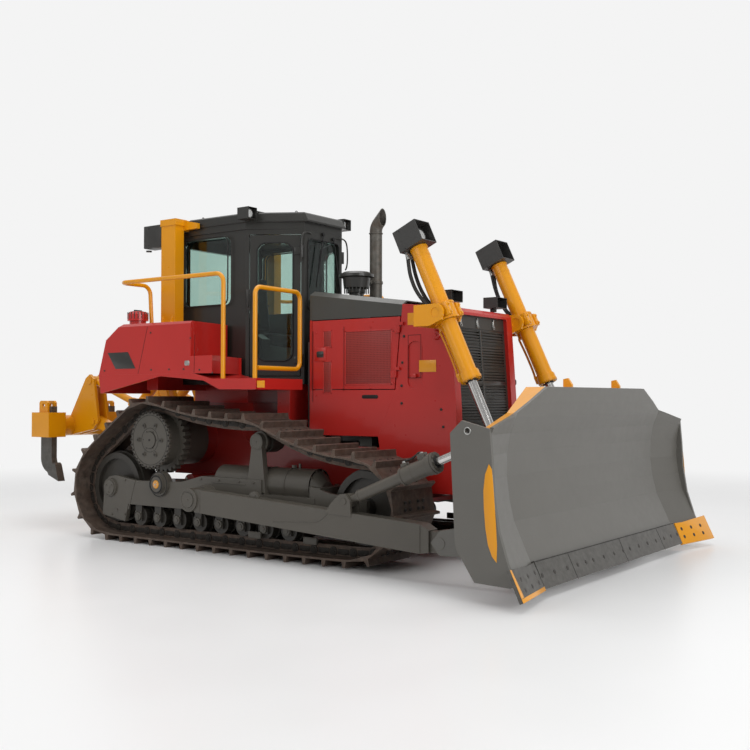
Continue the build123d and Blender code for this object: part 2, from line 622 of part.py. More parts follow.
EDGE_FACE = Plane(origin=FOOT, x_dir=(0, -1, 0), z_dir=(sin(FOOT_LEAN), 0, cos(FOOT_LEAN)))
EDGE_THICKNESS = 28.0
CENTRE_EDGE_HALF = WING_START_Y - 2
with BuildPart() as cutting_edge:
    with BuildSketch(EDGE_FACE.offset(SEAT)):
        with Locations((0, -5)):
            Rectangle(2 * CENTRE_EDGE_HALF, 210)
    extrude(amount=EDGE_THICKNESS)
cutting_edge.part.label = "cutting_edge"

WING_ALONG = Vector(WING_SLOPE, -1, 0).normalized()
WING_NORMAL = UP_FACE.cross(WING_ALONG).normalized()
WING_FACE = Plane(origin=FOOT + Vector(0, -WING_START_Y, 0), x_dir=WING_ALONG, z_dir=WING_NORMAL)
with BuildPart() as end_bit_right:
    with BuildSketch(WING_FACE.offset(SEAT)) as bit_face:
        with BuildLine():
            Polyline((18, -110), (588, -100), (570, 135), (150, 100), (18, 100), close=True)
        make_face()
    extrude(amount=EDGE_THICKNESS)

with BuildPart() as end_bits:
    add(end_bit_right.part)
    add(mirrored(end_bit_right.part))
end_bits.part.label = "end_bits"

# --------------------------------------------------------------- lift cylinders
def toward(start, end):
    """Unit vector between two points given as (x, z), at y = 0."""
    return (Vector(end[0], 0, end[1]) - Vector(start[0], 0, start[1])).normalized()


LIFT_AXIS = toward((YOKE_X, YOKE_Z), (LIFT_EYE_X, LIFT_EYE_Z))
YOKE = Vector(YOKE_X, -LIFT_Y, YOKE_Z)
LIFT_EYE = Vector(LIFT_EYE_X, -LIFT_Y, LIFT_EYE_Z)
LIFT_ROD_INSIDE = 315.0
with BuildPart() as lift_barrel_right:
    top = YOKE - LIFT_AXIS * LIFT_ABOVE_YOKE
    gland = YOKE + LIFT_AXIS * LIFT_BELOW_YOKE
    round_bar(top, gland, LIFT_RADIUS)
    round_bar(gland - LIFT_AXIS * 70, gland, LIFT_RADIUS + 14)
    round_bar(YOKE - LIFT_AXIS * 75, YOKE + LIFT_AXIS * 75, LIFT_RADIUS + 30)
    disc_y(YOKE_X, YOKE_Z, YOKE_PIN_RADIUS, -LIFT_Y - 150, -LIFT_Y + 150)
    round_bar(gland - LIFT_AXIS * (LIFT_ABOVE_YOKE + LIFT_BELOW_YOKE - 30), gland + LIFT_AXIS,
              LIFT_ROD_RADIUS + 12, Mode.SUBTRACT)
    round_bar(gland - LIFT_AXIS * 60, gland, LIFT_RADIUS - 10)
    round_bar(gland - LIFT_AXIS * 61, gland + LIFT_AXIS, LIFT_ROD_RADIUS + SEAT, Mode.SUBTRACT)
lift_barrel_right.part.label = "lift_barrel_right"

with BuildPart() as lift_rod_right:
    round_bar(gland - LIFT_AXIS * LIFT_ROD_INSIDE, LIFT_EYE - LIFT_AXIS * 20, LIFT_ROD_RADIUS)
    disc_y(LIFT_EYE_X, LIFT_EYE_Z, 72, -LIFT_Y - LIFT_EYE_HALF, -LIFT_Y + LIFT_EYE_HALF)
lift_rod_right.part.label = "lift_rod_right"

# --------------------------------------------------------------- tilt cylinders
TILT_AXIS = toward((BRACKET_PIN_X, BRACKET_PIN_Z), (TILT_EYE_X, TILT_EYE_Z))
TILT_PIN = Vector(BRACKET_PIN_X, -TILT_Y, BRACKET_PIN_Z)
TILT_EYE = Vector(TILT_EYE_X, -TILT_Y, TILT_EYE_Z)
TILT_GLAND = 930.0        # from the lower pin
TILT_ROD_RADIUS = 34.0
with BuildPart() as tilt_barrel_right:
    disc_y(BRACKET_PIN_X, BRACKET_PIN_Z, 62, -TILT_Y - TILT_EYE_HALF, -TILT_Y + TILT_EYE_HALF)
    round_bar(TILT_PIN + TILT_AXIS * 30, TILT_PIN + TILT_AXIS * 130, TILT_EYE_HALF - 2)
    round_bar(TILT_PIN + TILT_AXIS * 120, TILT_PIN + TILT_AXIS * 610, 48)
    round_bar(TILT_PIN + TILT_AXIS * 590, TILT_PIN + TILT_AXIS * TILT_GLAND, TILT_RADIUS)
    disc_y(BRACKET_PIN_X, BRACKET_PIN_Z, TILT_PIN_RADIUS + PIN_GAP, -TILT_Y - 60, -TILT_Y + 60, Mode.SUBTRACT)
    round_bar(TILT_PIN + TILT_AXIS * (TILT_GLAND - 290), TILT_PIN + TILT_AXIS * (TILT_GLAND + 1),
              TILT_ROD_RADIUS + SEAT, Mode.SUBTRACT)
tilt_barrel_right.part.label = "tilt_barrel_right"

with BuildPart() as tilt_rod_right:
    round_bar(TILT_PIN + TILT_AXIS * (TILT_GLAND - 150), TILT_EYE - TILT_AXIS * 20, TILT_ROD_RADIUS)
    disc_y(TILT_EYE_X, TILT_EYE_Z, 60, -TILT_Y - TILT_EYE_HALF, -TILT_Y + TILT_EYE_HALF)
tilt_rod_right.part.label = "tilt_rod_right"

# ---------------------------------------------------------------- main frame
BELLY_Z = 480.0
RAIL_TOP_Z = 980.0
RAIL_FRONT_X = 1900.0
HUMP_TOP_Z = 1380.0        # the steering and drive case
with BuildPart() as main_frame:
    for rail_low in (-500, 330):
        slab_y([(-1750, 700), (-1750, 1250), (-700, 1250), (-450, RAIL_TOP_Z), (RAIL_FRONT_X, RAIL_TOP_Z),
                (RAIL_FRONT_X, 640), (-700, 560)], rail_low, rail_low + 170)
    block(-1700, -560, -330, 330, 620, HUMP_TOP_Z)
    block(1500, 1900, -330, 330, 640, 900)
    block(-560, 1500, -330, 330, BELLY_Z, 520)
    block(-560, -300, -330, 330, 520, 640)
    slab_y([(840, 560), (840, 640), (1000, 640), (1000, 560)], -FRAME_INNER_Y + SEAT, FRAME_INNER_Y - SEAT)
    disc_y(PIVOT_X, PIVOT_Z, 75, -FRAME_INNER_Y + SEAT, FRAME_INNER_Y - SEAT)
    disc_y(SPROCKET_X, SPROCKET_Z, 250, -DRIVE_INNER_Y + SEAT, DRIVE_INNER_Y - SEAT)
main_frame.part.label = "main_frame"

ENGINE_TOP_Z = 1980.0
with BuildPart() as engine_block:
    block(130, 1180, -290, 290, RAIL_TOP_Z + 40, ENGINE_TOP_Z)
    for foot_x in (280, 900):
        block(foot_x, foot_x + 140, -470, 470, RAIL_TOP_Z + SEAT, RAIL_TOP_Z + 90)
engine_block.part.label = "engine_block"

# --------------------------------------------------------------- hood and guard
SPLIT_Z = 2164.0          # between the black hood and the red side doors
HOOD_TOP_REAR_Z = 2405.0
HOOD_TOP_FRONT_Z = 2262.0
HOOD_CROWN = 42.0
HOOD_CHAMFER = 70.0
DOOR_BOTTOM_Z = 1510.0


def guard_rear_x(z):
    """Where the guard's slanting rear edge is at the given height."""
    return 1358 + (z - 1506) * (1433 - 1358) / (2268 - 1506)


def guard_cheek_x(z):
    """The same below the doors, where the edge slants more."""
    return 1166 + (z - 1080) * (1358 - 1166) / (1506 - 1080)


def guard_top_z(x):
    """Height of the guard's top plate."""
    return 2268 + (x - 1433) * (2224 - 2268) / (1900 - 1433)


def hood_loft(inset, x_rear, x_front):
    """Faces of the hood's two end sections, moved in by the sheet's thickness."""
    faces = []
    for x, rise in ((x_rear, HOOD_TOP_REAR_Z), (x_front, HOOD_TOP_FRONT_Z)):
        half = HOOD_HALF - inset
        low = SPLIT_Z - inset
        with BuildSketch(Plane.YZ.offset(x)) as section:
            with BuildLine():
                Polyline(
                    (-half, low), (-half, rise - inset), (-half + HOOD_CHAMFER, rise + HOOD_CROWN - inset),
                    (half - HOOD_CHAMFER, rise + HOOD_CROWN - inset), (half, rise - inset), (half, low),
                    close=True,
                )
            make_face()
        faces.append(section.sketch.face())
    return faces


HOOD_SHEET = 12.0
STACK_X = 620.0           # exhaust and air intake stand side by side
EXHAUST_Y = 170.0
EXHAUST_RADIUS = 62.0
CLEANER_Y = -150.0
CLEANER_NECK = 70.0
with BuildPart() as hood:
    loft(hood_loft(0, HOOD_REAR_X, HOOD_FRONT_X), ruled=True)
    loft(hood_loft(HOOD_SHEET, HOOD_REAR_X - 1, HOOD_FRONT_X + 1), ruled=True, mode=Mode.SUBTRACT)
    block(HOOD_REAR_X, HOOD_REAR_X + 15, -HOOD_HALF + 20, HOOD_HALF - 20, SPLIT_Z, HOOD_TOP_REAR_Z)
    slab_y(
        [(guard_rear_x(2100) - SEAT, 2100), (guard_rear_x(2268) - SEAT, 2268), (guard_rear_x(2268) - SEAT, 2400),
         (1500, 2400), (1500, 2100)],
        -600, 600, Mode.SUBTRACT,
    )
    for hole_y, hole_radius in ((EXHAUST_Y, EXHAUST_RADIUS), (CLEANER_Y, CLEANER_NECK)):
        with BuildSketch(Plane.XY.offset(2200)):
            with Locations((STACK_X, hole_y)):
                Circle(hole_radius + 8)
        extrude(amount=400, mode=Mode.SUBTRACT)
hood.part.label = "hood"

HINGE_PIN = 9.0
HINGE_OUT = 13.0          # a door hinge's axis stands this far outside the face
HINGE_HALF = 29.0         # half the height of a door's hinge eye
ENGINE_HINGES = (1640.0, 2040.0)


def engine_hinge(z):
    """Point on the hinge axis of the right engine door."""
    return Vector(guard_rear_x(z) - 6, -HOOD_HALF - HINGE_OUT, z)


ENGINE_DOOR_REAR_X = 397.0
ENGINE_DOOR_THICKNESS = 30.0
with BuildPart() as engine_door_right:
    slab_y(
        [
            (ENGINE_DOOR_REAR_X, DOOR_BOTTOM_Z), (guard_rear_x(DOOR_BOTTOM_Z) - 12, DOOR_BOTTOM_Z),
            (guard_rear_x(SPLIT_Z) - 12, SPLIT_Z - DOOR_GAP), (ENGINE_DOOR_REAR_X, SPLIT_Z - DOOR_GAP),
        ],
        -HOOD_HALF, -HOOD_HALF + ENGINE_DOOR_THICKNESS,
    )
    for hinge_z in ENGINE_HINGES:
        low_end, high_end = engine_hinge(hinge_z - HINGE_HALF), engine_hinge(hinge_z + HINGE_HALF)
        round_bar(low_end, high_end, HINGE_OUT - 1)
        block(low_end.X + 2, low_end.X - 50, -HOOD_HALF - HINGE_OUT, -HOOD_HALF + 2, hinge_z - 28, hinge_z + 28)
        block(low_end.X - 12, low_end.X + 6, -HOOD_HALF - 1, -HOOD_HALF + 40, hinge_z - 40, hinge_z + 40, Mode.SUBTRACT)
        round_bar(low_end, high_end, HINGE_PIN + PIN_GAP, Mode.SUBTRACT)
engine_door_right.part.label = "engine_door_right"

# Fixed sheets round the engine below and behind the doors.
with BuildPart() as side_panel_right:
    slab_y(
        [(HOOD_REAR_X, 1080), (HOOD_REAR_X, DOOR_BOTTOM_Z - DOOR_GAP),
         (guard_cheek_x(DOOR_BOTTOM_Z - DOOR_GAP) - SEAT, DOOR_BOTTOM_Z - DOOR_GAP), (guard_cheek_x(1080) - SEAT, 1080)],
        -HOOD_HALF, -HOOD_HALF + 30,
    )
    block(HOOD_REAR_X, ENGINE_DOOR_REAR_X - DOOR_GAP, -HOOD_HALF, -HOOD_HALF + 60, DOOR_BOTTOM_Z - DOOR_GAP,
          SPLIT_Z - SEAT)

with BuildPart() as side_panels:
    add(side_panel_right.part)
    add(mirrored(side_panel_right.part))
side_panels.part.label = "side_panels"

GRILLE_HALF = 452.0
GRILLE_LOW_Z = 1064.0
GRILLE_HIGH_Z = 2165.0
GRILLE_THICKNESS = 35.0
RECESS = (1570.0, 1720.0, 160.0, 420.0, 12.0)     # middle x and z, width, height and depth
GUARD_SIDE = [
    (1433, 2268), (1358, 1506), (1166, 1080), (1250, GUARD_BOTTOM_Z), (2010, GUARD_BOTTOM_Z), (1990, 1327),
    (1964, 1727), (1930, 2190), (1900, 2224),
]
with BuildPart() as radiator_guard:
    slab_y(GUARD_SIDE, -HOOD_HALF, HOOD_HALF)
    slab_y(
        [(1400, 2232), (1300, 1506), (1100, 1080), (1100, 986), (1910, 986), (1950, 1040), (1920, 1727), (1885, 2190)],
        -HOOD_HALF + 20, HOOD_HALF - 20, Mode.SUBTRACT,
    )
    block(1100, RAIL_FRONT_X + SEAT, -HOOD_HALF + 20, HOOD_HALF - 20, GUARD_BOTTOM_Z - 1, 987, Mode.SUBTRACT)
    block(1800, 2100, -GRILLE_HALF - SEAT, GRILLE_HALF + SEAT, GRILLE_LOW_Z - SEAT, GRILLE_HIGH_Z + SEAT,
          Mode.SUBTRACT)
    recess_x, recess_z, recess_width, recess_height, recess_depth = RECESS
    for recess_y in (-HOOD_HALF + recess_depth, HOOD_HALF + 1):
        with BuildSketch(Plane.XZ.offset(-recess_y)) as recess:
            with Locations((recess_x, recess_z)):
                RectangleRounded(recess_width, recess_height, recess_width / 2 - 12)
        extrude(recess.sketch, amount=recess_depth + 1, mode=Mode.SUBTRACT)
    for guard_side in (-1, 1):
        for hinge_z in ENGINE_HINGES:
            low_end, high_end = engine_hinge(hinge_z - HINGE_HALF), engine_hinge(hinge_z + HINGE_HALF + 12)
            low_end.Y *= -guard_side
            high_end.Y *= -guard_side
            round_bar(low_end, high_end, HINGE_PIN)
            outer, inner = guard_side * (HOOD_HALF + 2 * HINGE_OUT), guard_side * (HOOD_HALF - 2)
            block(high_end.X + 7, high_end.X + 46, min(outer, inner), max(outer, inner), hinge_z + 38, hinge_z + 64)
            outer, inner = guard_side * (HOOD_HALF + 2 * HINGE_OUT), guard_side * (HOOD_HALF + 6)
            block(high_end.X - 5, high_end.X + 8, min(outer, inner), max(outer, inner), hinge_z + 38, hinge_z + 64)
radiator_guard.part.label = "radiator_guard"

with BuildPart() as radiator_core:
    block(1620, 1760, -500, 500, RAIL_TOP_Z + SEAT, 2150)
radiator_core.part.label = "radiator_core"



def grille_x(z):
    """Front face of the grille, which leans back."""
    return 1972 - (z - 1064) * (1972 - 1900) / (2116 - 1064)


SLAT_PITCH = 27.0
SLAT_GAP = 14.0
SLAT_ROWS = 17
with BuildPart() as grille:
    slab_y(
        [(grille_x(GRILLE_LOW_Z), GRILLE_LOW_Z), (grille_x(GRILLE_HIGH_Z), GRILLE_HIGH_Z),
         (grille_x(GRILLE_HIGH_Z) - GRILLE_THICKNESS, GRILLE_HIGH_Z), (grille_x(GRILLE_LOW_Z) - GRILLE_THICKNESS, GRILLE_LOW_Z)],
        -GRILLE_HALF, GRILLE_HALF,
    )
    for bank_low_z in (1092, 1580):
        for row in range(SLAT_ROWS):
            z = bank_low_z + SLAT_PITCH * row
            for slot_low, slot_high in ((-GRILLE_HALF + 30, -16), (16, GRILLE_HALF - 30)):
                block(grille_x(z) - 20, grille_x(z) + 20, slot_low, slot_high, z, z + SLAT_GAP, Mode.SUBTRACT)
grille.part.label = "grille"

with BuildPart() as lift_brackets:
    for bracket_side in (-1, 1):
        for plate_y in (HOOD_HALF + SEAT, LIFT_Y + LIFT_RADIUS + 55):
            low = plate_y if bracket_side > 0 else -plate_y - 26
            slab_y(
                [(YOKE_X - 190, YOKE_Z - 110), (YOKE_X - 190, YOKE_Z + 70), (YOKE_X + 20, YOKE_Z + 75),
                 (YOKE_X + 75, YOKE_Z + 20), (YOKE_X + 60, YOKE_Z - 60), (YOKE_X - 60, YOKE_Z - 110)],
                low, low + 26,
            )
            disc_y(YOKE_X, YOKE_Z, YOKE_PIN_RADIUS + 34, low, low + 26)
            disc_y(YOKE_X, YOKE_Z, YOKE_PIN_RADIUS + PIN_GAP, low - 1, low + 27, Mode.SUBTRACT)
        inner = bracket_side * (HOOD_HALF + SEAT)
        outer = bracket_side * (LIFT_Y + LIFT_RADIUS + 55 + 26)
        block(YOKE_X - 215, YOKE_X - 175, min(inner, outer), max(inner, outer), YOKE_Z - 110, YOKE_Z + 70)
lift_brackets.part.label = "lift_brackets"

# ------------------------------------------------------------- deck and fenders
SKIRT_BOTTOM = [
    (360, 1505), (-98, 1507), (-294, 1589), (-882, 1636), (-1760, 1471),
]
DECK_FRONT_X = 360.0
FENDER_BASE_Z = 1657.0
with BuildPart() as deck_right:
    slab_y(
        [(DECK_FRONT_X, DECK_Z), (-190, DECK_Z), (-425, FENDER_BASE_Z), (-1790, FENDER_BASE_Z)] + SKIRT_BOTTOM[::-1],
        -FENDER_OUTER_Y, -FENDER_INNER_Y,
    )
    slab_y(
        [(DECK_FRONT_X - 20, DECK_Z - 20), (-190, DECK_Z - 20), (-440, FENDER_BASE_Z - 15), (-1740, FENDER_BASE_Z - 15), (-1740, 1400),
         (DECK_FRONT_X - 20, 1400)],
        -FENDER_OUTER_Y + 15, -FENDER_INNER_Y + 1, Mode.SUBTRACT,
    )

with BuildPart() as decks:
    add(deck_right.part)
    add(mirrored(deck_right.part))
decks.part.label = "decks"

FENDER_CHAMFER = 32.0
FILLER = (-1545.0, -1000.0)
with BuildPart() as fender_sheet:
    slab_y(
        [(-425, FENDER_BASE_Z + SEAT), (-425, 2155), (-1452, 2161), (-1682, 2007), (-1790, FENDER_BASE_Z + SEAT)],
        -FENDER_OUTER_Y, -FENDER_INNER_Y,
    )
    slab_z([(-426, -FENDER_OUTER_Y), (-190, -FENDER_OUTER_Y), (-440, -FENDER_INNER_Y), (-560, -FENDER_INNER_Y)],
           FENDER_BASE_Z + SEAT, 1822)
    slab_z([(-424, -FENDER_OUTER_Y - 1), (-424, -FENDER_INNER_Y + 1), (-620, -FENDER_INNER_Y + 1),
            (-470, -FENDER_OUTER_Y - 1)], 1822, 2200, Mode.SUBTRACT)
    slab_x([(-FENDER_OUTER_Y - 1, 2162), (-FENDER_OUTER_Y - 1, 2162 - FENDER_CHAMFER),
            (-FENDER_OUTER_Y + FENDER_CHAMFER, 2162)], -1800, 0, Mode.SUBTRACT)

# The fuel filler stands on the right fender only.
with BuildPart() as fender_right:
    add(fender_sheet.part)
    filler_x, filler_y = FILLER
    turned([(0, 2030), (84, 2030), (84, 2212), (106, 2214), (106, 2282), (84, 2308), (0, 2312)], filler_x, filler_y)
fender_right.part.label = "fender_right"

# ----------------------------------------------------------------------- cab
def cab_plan(inset):
    """Plan of the cab, each wall moved in by the given distance."""
    angle = atan2(CAB_BEND_HALF - CAB_FRONT_HALF, CAB_FRONT_X - CAB_BEND_X)
    front_half = CAB_FRONT_HALF - inset * (1 / cos(angle) - 1 * sin(angle) / cos(angle))
    bend_half = CAB_BEND_HALF - inset
    return [
        (CAB_FRONT_X - inset, -front_half), (CAB_FRONT_X - inset, front_half), (CAB_BEND_X, bend_half),
        (CAB_REAR_X + inset, CAB_REAR_HALF - inset), (CAB_REAR_X + inset, -CAB_REAR_HALF + inset),
        (CAB_BEND_X, -bend_half),
    ]


DOOR_ALONG = Vector(CAB_BEND_X - CAB_FRONT_X, -(CAB_BEND_HALF - CAB_FRONT_HALF), 0)
DOOR_WALL = DOOR_ALONG.length
CAB_BASE_Z = DECK_Z - 40
DOOR_OPENING = (35.0, DOOR_WALL - 35.0, 1640.0, 3050.0)     # along the wall and up
DOOR_THICKNESS = 40.0


def door_slab(along_low, along_high, out_low, out_high, z_low, z_high, side=-1, mode=Mode.ADD):
    """Upright slab on a slanting door wall, measured along the wall and out of it."""
    ux, uy = DOOR_ALONG.X / DOOR_WALL, DOOR_ALONG.Y / DOOR_WALL
    corners = []
    for along, out in ((along_low, out_low), (along_high, out_low), (along_high, out_high), (along_low, out_high)):
        x = CAB_FRONT_X + ux * along - uy * out
        y = -CAB_FRONT_HALF + uy * along + ux * out
        corners.append((x, -side * y))
    slab_z(corners, z_low, z_high, mode)


CAB_HINGES = (1800.0, 2880.0)


def wall_point(along, out, z, side=-1):
    """Point measured like door_slab."""
    ux, uy = DOOR_ALONG.X / DOOR_WALL, DOOR_ALONG.Y / DOOR_WALL
    return Vector(CAB_FRONT_X + ux * along - uy * out, -side * (-CAB_FRONT_HALF + uy * along + ux * out), z)


SIDE_WINDOW = (CAB_REAR_X + CAB_WALL + 10, CAB_BEND_X - 200, 2365.0, 3050.0)
REAR_WINDOW = (520.0, 2250.0, 2990.0)
FRONT_WINDOW = (245.0, 2300.0, 3010.0)
WINDOW_CORNER = 70.0


def side_window(inset, mode):
    """Rounded outline of the side windows, right through the cab."""
    low, high, bottom, top = SIDE_WINDOW
    with BuildSketch(Plane.XZ.offset(-1000)) as window:
        with Locations(((low + high) / 2, (bottom + top) / 2)):
            RectangleRounded(high - low - 2 * inset, top - bottom - 2 * inset, WINDOW_CORNER)
    extrude(window.sketch, amount=2000, mode=mode)


with BuildPart() as cab_frame:
    slab_z(cab_plan(0), CAB_BASE_Z, ROOF_UNDER_Z)
    slab_z(cab_plan(CAB_WALL), CAB_BASE_Z + CAB_FLOOR_THICKNESS, ROOF_UNDER_Z + 1, Mode.SUBTRACT)
    for side in (-1, 1):
        low, high, bottom, top = DOOR_OPENING
        door_slab(low, high, -150, 150, bottom, top, side, Mode.SUBTRACT)
    side_window(0, Mode.SUBTRACT)
    block(CAB_REAR_X - 50, CAB_REAR_X + 100, -REAR_WINDOW[0], REAR_WINDOW[0], REAR_WINDOW[1], REAR_WINDOW[2],
          Mode.SUBTRACT)
    block(CAB_FRONT_X - 100, CAB_FRONT_X + 50, -FRONT_WINDOW[0], FRONT_WINDOW[0], FRONT_WINDOW[1], FRONT_WINDOW[2],
          Mode.SUBTRACT)
    for side in (-1, 1):
        low = DOOR_OPENING[0]
        for hinge_z in CAB_HINGES:
            round_bar(wall_point(low, HINGE_OUT, hinge_z - HINGE_HALF, side), wall_point(low, HINGE_OUT, hinge_z + 35, side),
                      HINGE_PIN)
            door_slab(low - 25, low - 1, -5, 2 * HINGE_OUT, hinge_z + 31, hinge_z + 61, side)
            door_slab(low - 2, low + 9, 2, 2 * HINGE_OUT, hinge_z + 31, hinge_z + 61, side)
cab_frame.part.label = "cab_frame"

# Pedestals under the cab, with outriggers that carry the decks.
with BuildPart() as cab_mount:
    for x_low, x_high, z_low, deck_under in (
        (-1400, -640, HUMP_TOP_Z, FENDER_BASE_Z - 15), (-100, 60, RAIL_TOP_Z, DECK_Z - 20),
    ):
        block(x_low, x_high, -480 if z_low < HUMP_TOP_Z else -330, 480 if z_low < HUMP_TOP_Z else 330, z_low + SEAT,
              CAB_BASE_Z - SEAT)
        block(x_low, x_low + 160, -1000, 1000, CAB_BASE_Z - 60, CAB_BASE_Z - SEAT)
        for side in (-1, 1):
            block(x_low, x_low + 160, min(side * 660, side * 1000), max(side * 660, side * 1000), CAB_BASE_Z - 1,
                  deck_under - SEAT)
cab_mount.part.label = "cab_mount"

GLASS = 8.0
with BuildPart() as side_panes:
    for side in (-1, 1):
        pane = []
        for x, inset in ((SIDE_WINDOW[0], 35), (SIDE_WINDOW[1], 35), (SIDE_WINDOW[1], 35 + GLASS),
                         (SIDE_WINDOW[0], 35 + GLASS)):
            share = (CAB_BEND_X - x) / (CAB_BEND_X - CAB_REAR_X)
            pane.append((x, side * (CAB_BEND_HALF + (CAB_REAR_HALF - CAB_BEND_HALF) * share - inset)))
        slab_z(pane, SIDE_WINDOW[2], SIDE_WINDOW[3])
    side_window(SEAT, Mode.INTERSECT)

with BuildPart() as cab_glass:
    block(CAB_FRONT_X - 40, CAB_FRONT_X - 40 + GLASS, -FRONT_WINDOW[0] + SEAT, FRONT_WINDOW[0] - SEAT,
          FRONT_WINDOW[1] + SEAT, FRONT_WINDOW[2] - SEAT)
    block(CAB_REAR_X + 30, CAB_REAR_X + 30 + GLASS, -REAR_WINDOW[0] + SEAT, REAR_WINDOW[0] - SEAT,
          REAR_WINDOW[1] + SEAT, REAR_WINDOW[2] - SEAT)
    add(side_panes.part)
cab_glass.part.label = "cab_glass"

VISOR_Z = ROOF_UNDER_Z + 72     # a lip runs round the roof at this height
VISOR_REACH = 52.0
ROOF_REAR_X = -1180.0


def roof_plan(front, side):
    """Plan of the roof, standing out past the cab by the given distances."""
    return [
        (CAB_FRONT_X + front, -CAB_FRONT_HALF), (CAB_FRONT_X + front, CAB_FRONT_HALF), (CAB_BEND_X, CAB_BEND_HALF + side),
        (ROOF_REAR_X, CAB_REAR_HALF + side), (ROOF_REAR_X, -CAB_REAR_HALF - side), (CAB_BEND_X, -CAB_BEND_HALF - side),
    ]


with BuildPart() as cab_roof:
    slab_z(roof_plan(0, 10), ROOF_UNDER_Z + SEAT, VISOR_Z)
    slab_z(roof_plan(VISOR_REACH, 24), VISOR_Z - 1, VISOR_Z + 16)
    cap_faces = []
    for z, front, side in ((VISOR_Z + 15, VISOR_REACH - 8, 14), (ROOF_TOP_Z - 14, 8, 10), (ROOF_TOP_Z, -6, -6)):
        with BuildSketch(Plane.XY.offset(z)) as cap_section:
            with BuildLine():
                Polyline(*roof_plan(front, side), close=True)
            make_face()
        cap_faces.append(cap_section.sketch.face())
    loft(cap_faces, ruled=True)
    block(CAB_REAR_X, -1179, -CAB_REAR_HALF, CAB_REAR_HALF, ROOF_UNDER_Z + SEAT, ROOF_UNDER_Z + 45)
cab_roof.part.label = "cab_roof"

DOOR_CORNER = 90.0
DOOR_PLANE = Plane(origin=wall_point(0, 0, 0), x_dir=DOOR_ALONG, z_dir=(DOOR_ALONG.Y, -DOOR_ALONG.X, 0))
DOOR_WINDOW = (DOOR_OPENING[0] + 85, DOOR_OPENING[1] - 85, 1800.0, 2960.0)


def door_window(depth, thickness, inset, mode=Mode.ADD):
    """Rounded window of the door, from the given depth behind its face."""
    low, high, bottom, top = DOOR_WINDOW
    with BuildSketch(DOOR_PLANE.offset(depth)) as window:
        with Locations(((low + high) / 2, (bottom + top) / 2)):
            RectangleRounded(high - low - 2 * inset, top - bottom - 2 * inset, DOOR_CORNER)
    extrude(window.sketch, amount=thickness, mode=mode)


with BuildPart() as cab_door_right:
    low, high, bottom, top = DOOR_OPENING
    door_slab(low + DOOR_GAP, high - DOOR_GAP, -DOOR_THICKNESS, 0, bottom + DOOR_GAP, top - DOOR_GAP)
    for hinge_z in CAB_HINGES:
        eye = (wall_point(low, HINGE_OUT, hinge_z - HINGE_HALF), wall_point(low, HINGE_OUT, hinge_z + HINGE_HALF))
        round_bar(*eye, HINGE_OUT - 1)
        door_slab(low + 2, low + 50, 2, 2 * HINGE_OUT - 2, hinge_z - HINGE_HALF, hinge_z + HINGE_HALF)
        door_slab(low + 14, low + 50, -5, 3, hinge_z - HINGE_HALF, hinge_z + HINGE_HALF)
        round_bar(*eye, HINGE_PIN + PIN_GAP, Mode.SUBTRACT)
    door_window(-100, 200, 0, Mode.SUBTRACT)
cab_door_right.part.label = "cab_door_right"

with BuildPart() as door_glass_right:
    door_window(16, GLASS, SEAT)
door_glass_right.part.label = "door_glass_right"

ROPS_REAR_X = -1400.0
ROPS_FRONT_X = -1195.0
ROPS_INNER_Y = 700.0
ROPS_OUTER_Y = 820.0
ROPS_TOP_Z = 3262.0
ROPS_BEAM_HEIGHT = 112.0
ROPS_FOOT_Z = 2161 + SEAT
with BuildPart() as rops_post_right:
    block(ROPS_REAR_X, ROPS_FRONT_X, -ROPS_OUTER_Y, -ROPS_INNER_Y, ROPS_FOOT_Z, ROPS_TOP_Z - ROPS_BEAM_HEIGHT)
    block(ROPS_REAR_X - 50, ROPS_FRONT_X + 55, -ROPS_OUTER_Y - 40, -ROPS_INNER_Y + 20, ROPS_FOOT_Z, ROPS_FOOT_Z + 29)
    for gusset_x in (ROPS_REAR_X + 30, ROPS_FRONT_X - 42):
        slab_x([(-ROPS_OUTER_Y - 34, ROPS_FOOT_Z + 20), (-ROPS_OUTER_Y + 1, ROPS_FOOT_Z + 110), (-ROPS_OUTER_Y + 1, ROPS_FOOT_Z + 20)],
               gusset_x, gusset_x + 12)
    slab_y([(ROPS_REAR_X - 10, ROPS_TOP_Z - 66), (ROPS_REAR_X - 10, ROPS_TOP_Z), (ROPS_FRONT_X + 12, ROPS_TOP_Z),
            (ROPS_FRONT_X + 12, ROPS_TOP_Z - 66)], -ROPS_OUTER_Y - 8, -ROPS_INNER_Y + 30)
    slab_y([(ROPS_FRONT_X - 5, ROPS_TOP_Z - 108), (ROPS_FRONT_X - 5, ROPS_TOP_Z - 8), (ROPS_FRONT_X + 190, ROPS_TOP_Z - 48),
            (ROPS_FRONT_X + 190, ROPS_TOP_Z - 104)], -ROPS_INNER_Y - 2, -CAB_REAR_HALF - 30)

with BuildPart() as rops:
    block(ROPS_REAR_X, ROPS_FRONT_X, -ROPS_OUTER_Y, ROPS_OUTER_Y, ROPS_TOP_Z - ROPS_BEAM_HEIGHT, ROPS_TOP_Z)
    add(rops_post_right.part)
    add(mirrored(rops_post_right.part))
rops.part.label = "rops"

with BuildPart() as seat_base:
    floor_z = CAB_BASE_Z + CAB_FLOOR_THICKNESS + SEAT
    block(-850, -450, -230, 230, floor_z, 1960)
    for console_side in (-1, 1):
        slab_y([(-860, floor_z), (-860, 2030), (-480, 2075), (-380, 2020), (-400, floor_z)],
               console_side * 335 - 60, console_side * 335 + 60)
    block(-840, -700, -335, 335, floor_z, floor_z + 40)
seat_base.part.label = "seat_base"
with BuildPart() as seat_pads:
    block(-880, -380, -260, 260, 1960 + SEAT, 2080)
    slab_y([(-885, 2080 + SEAT), (-760, 2080 + SEAT), (-880, 2780), (-990, 2780)], -250, 250)
seat_pads.part.label = "seat_pads"

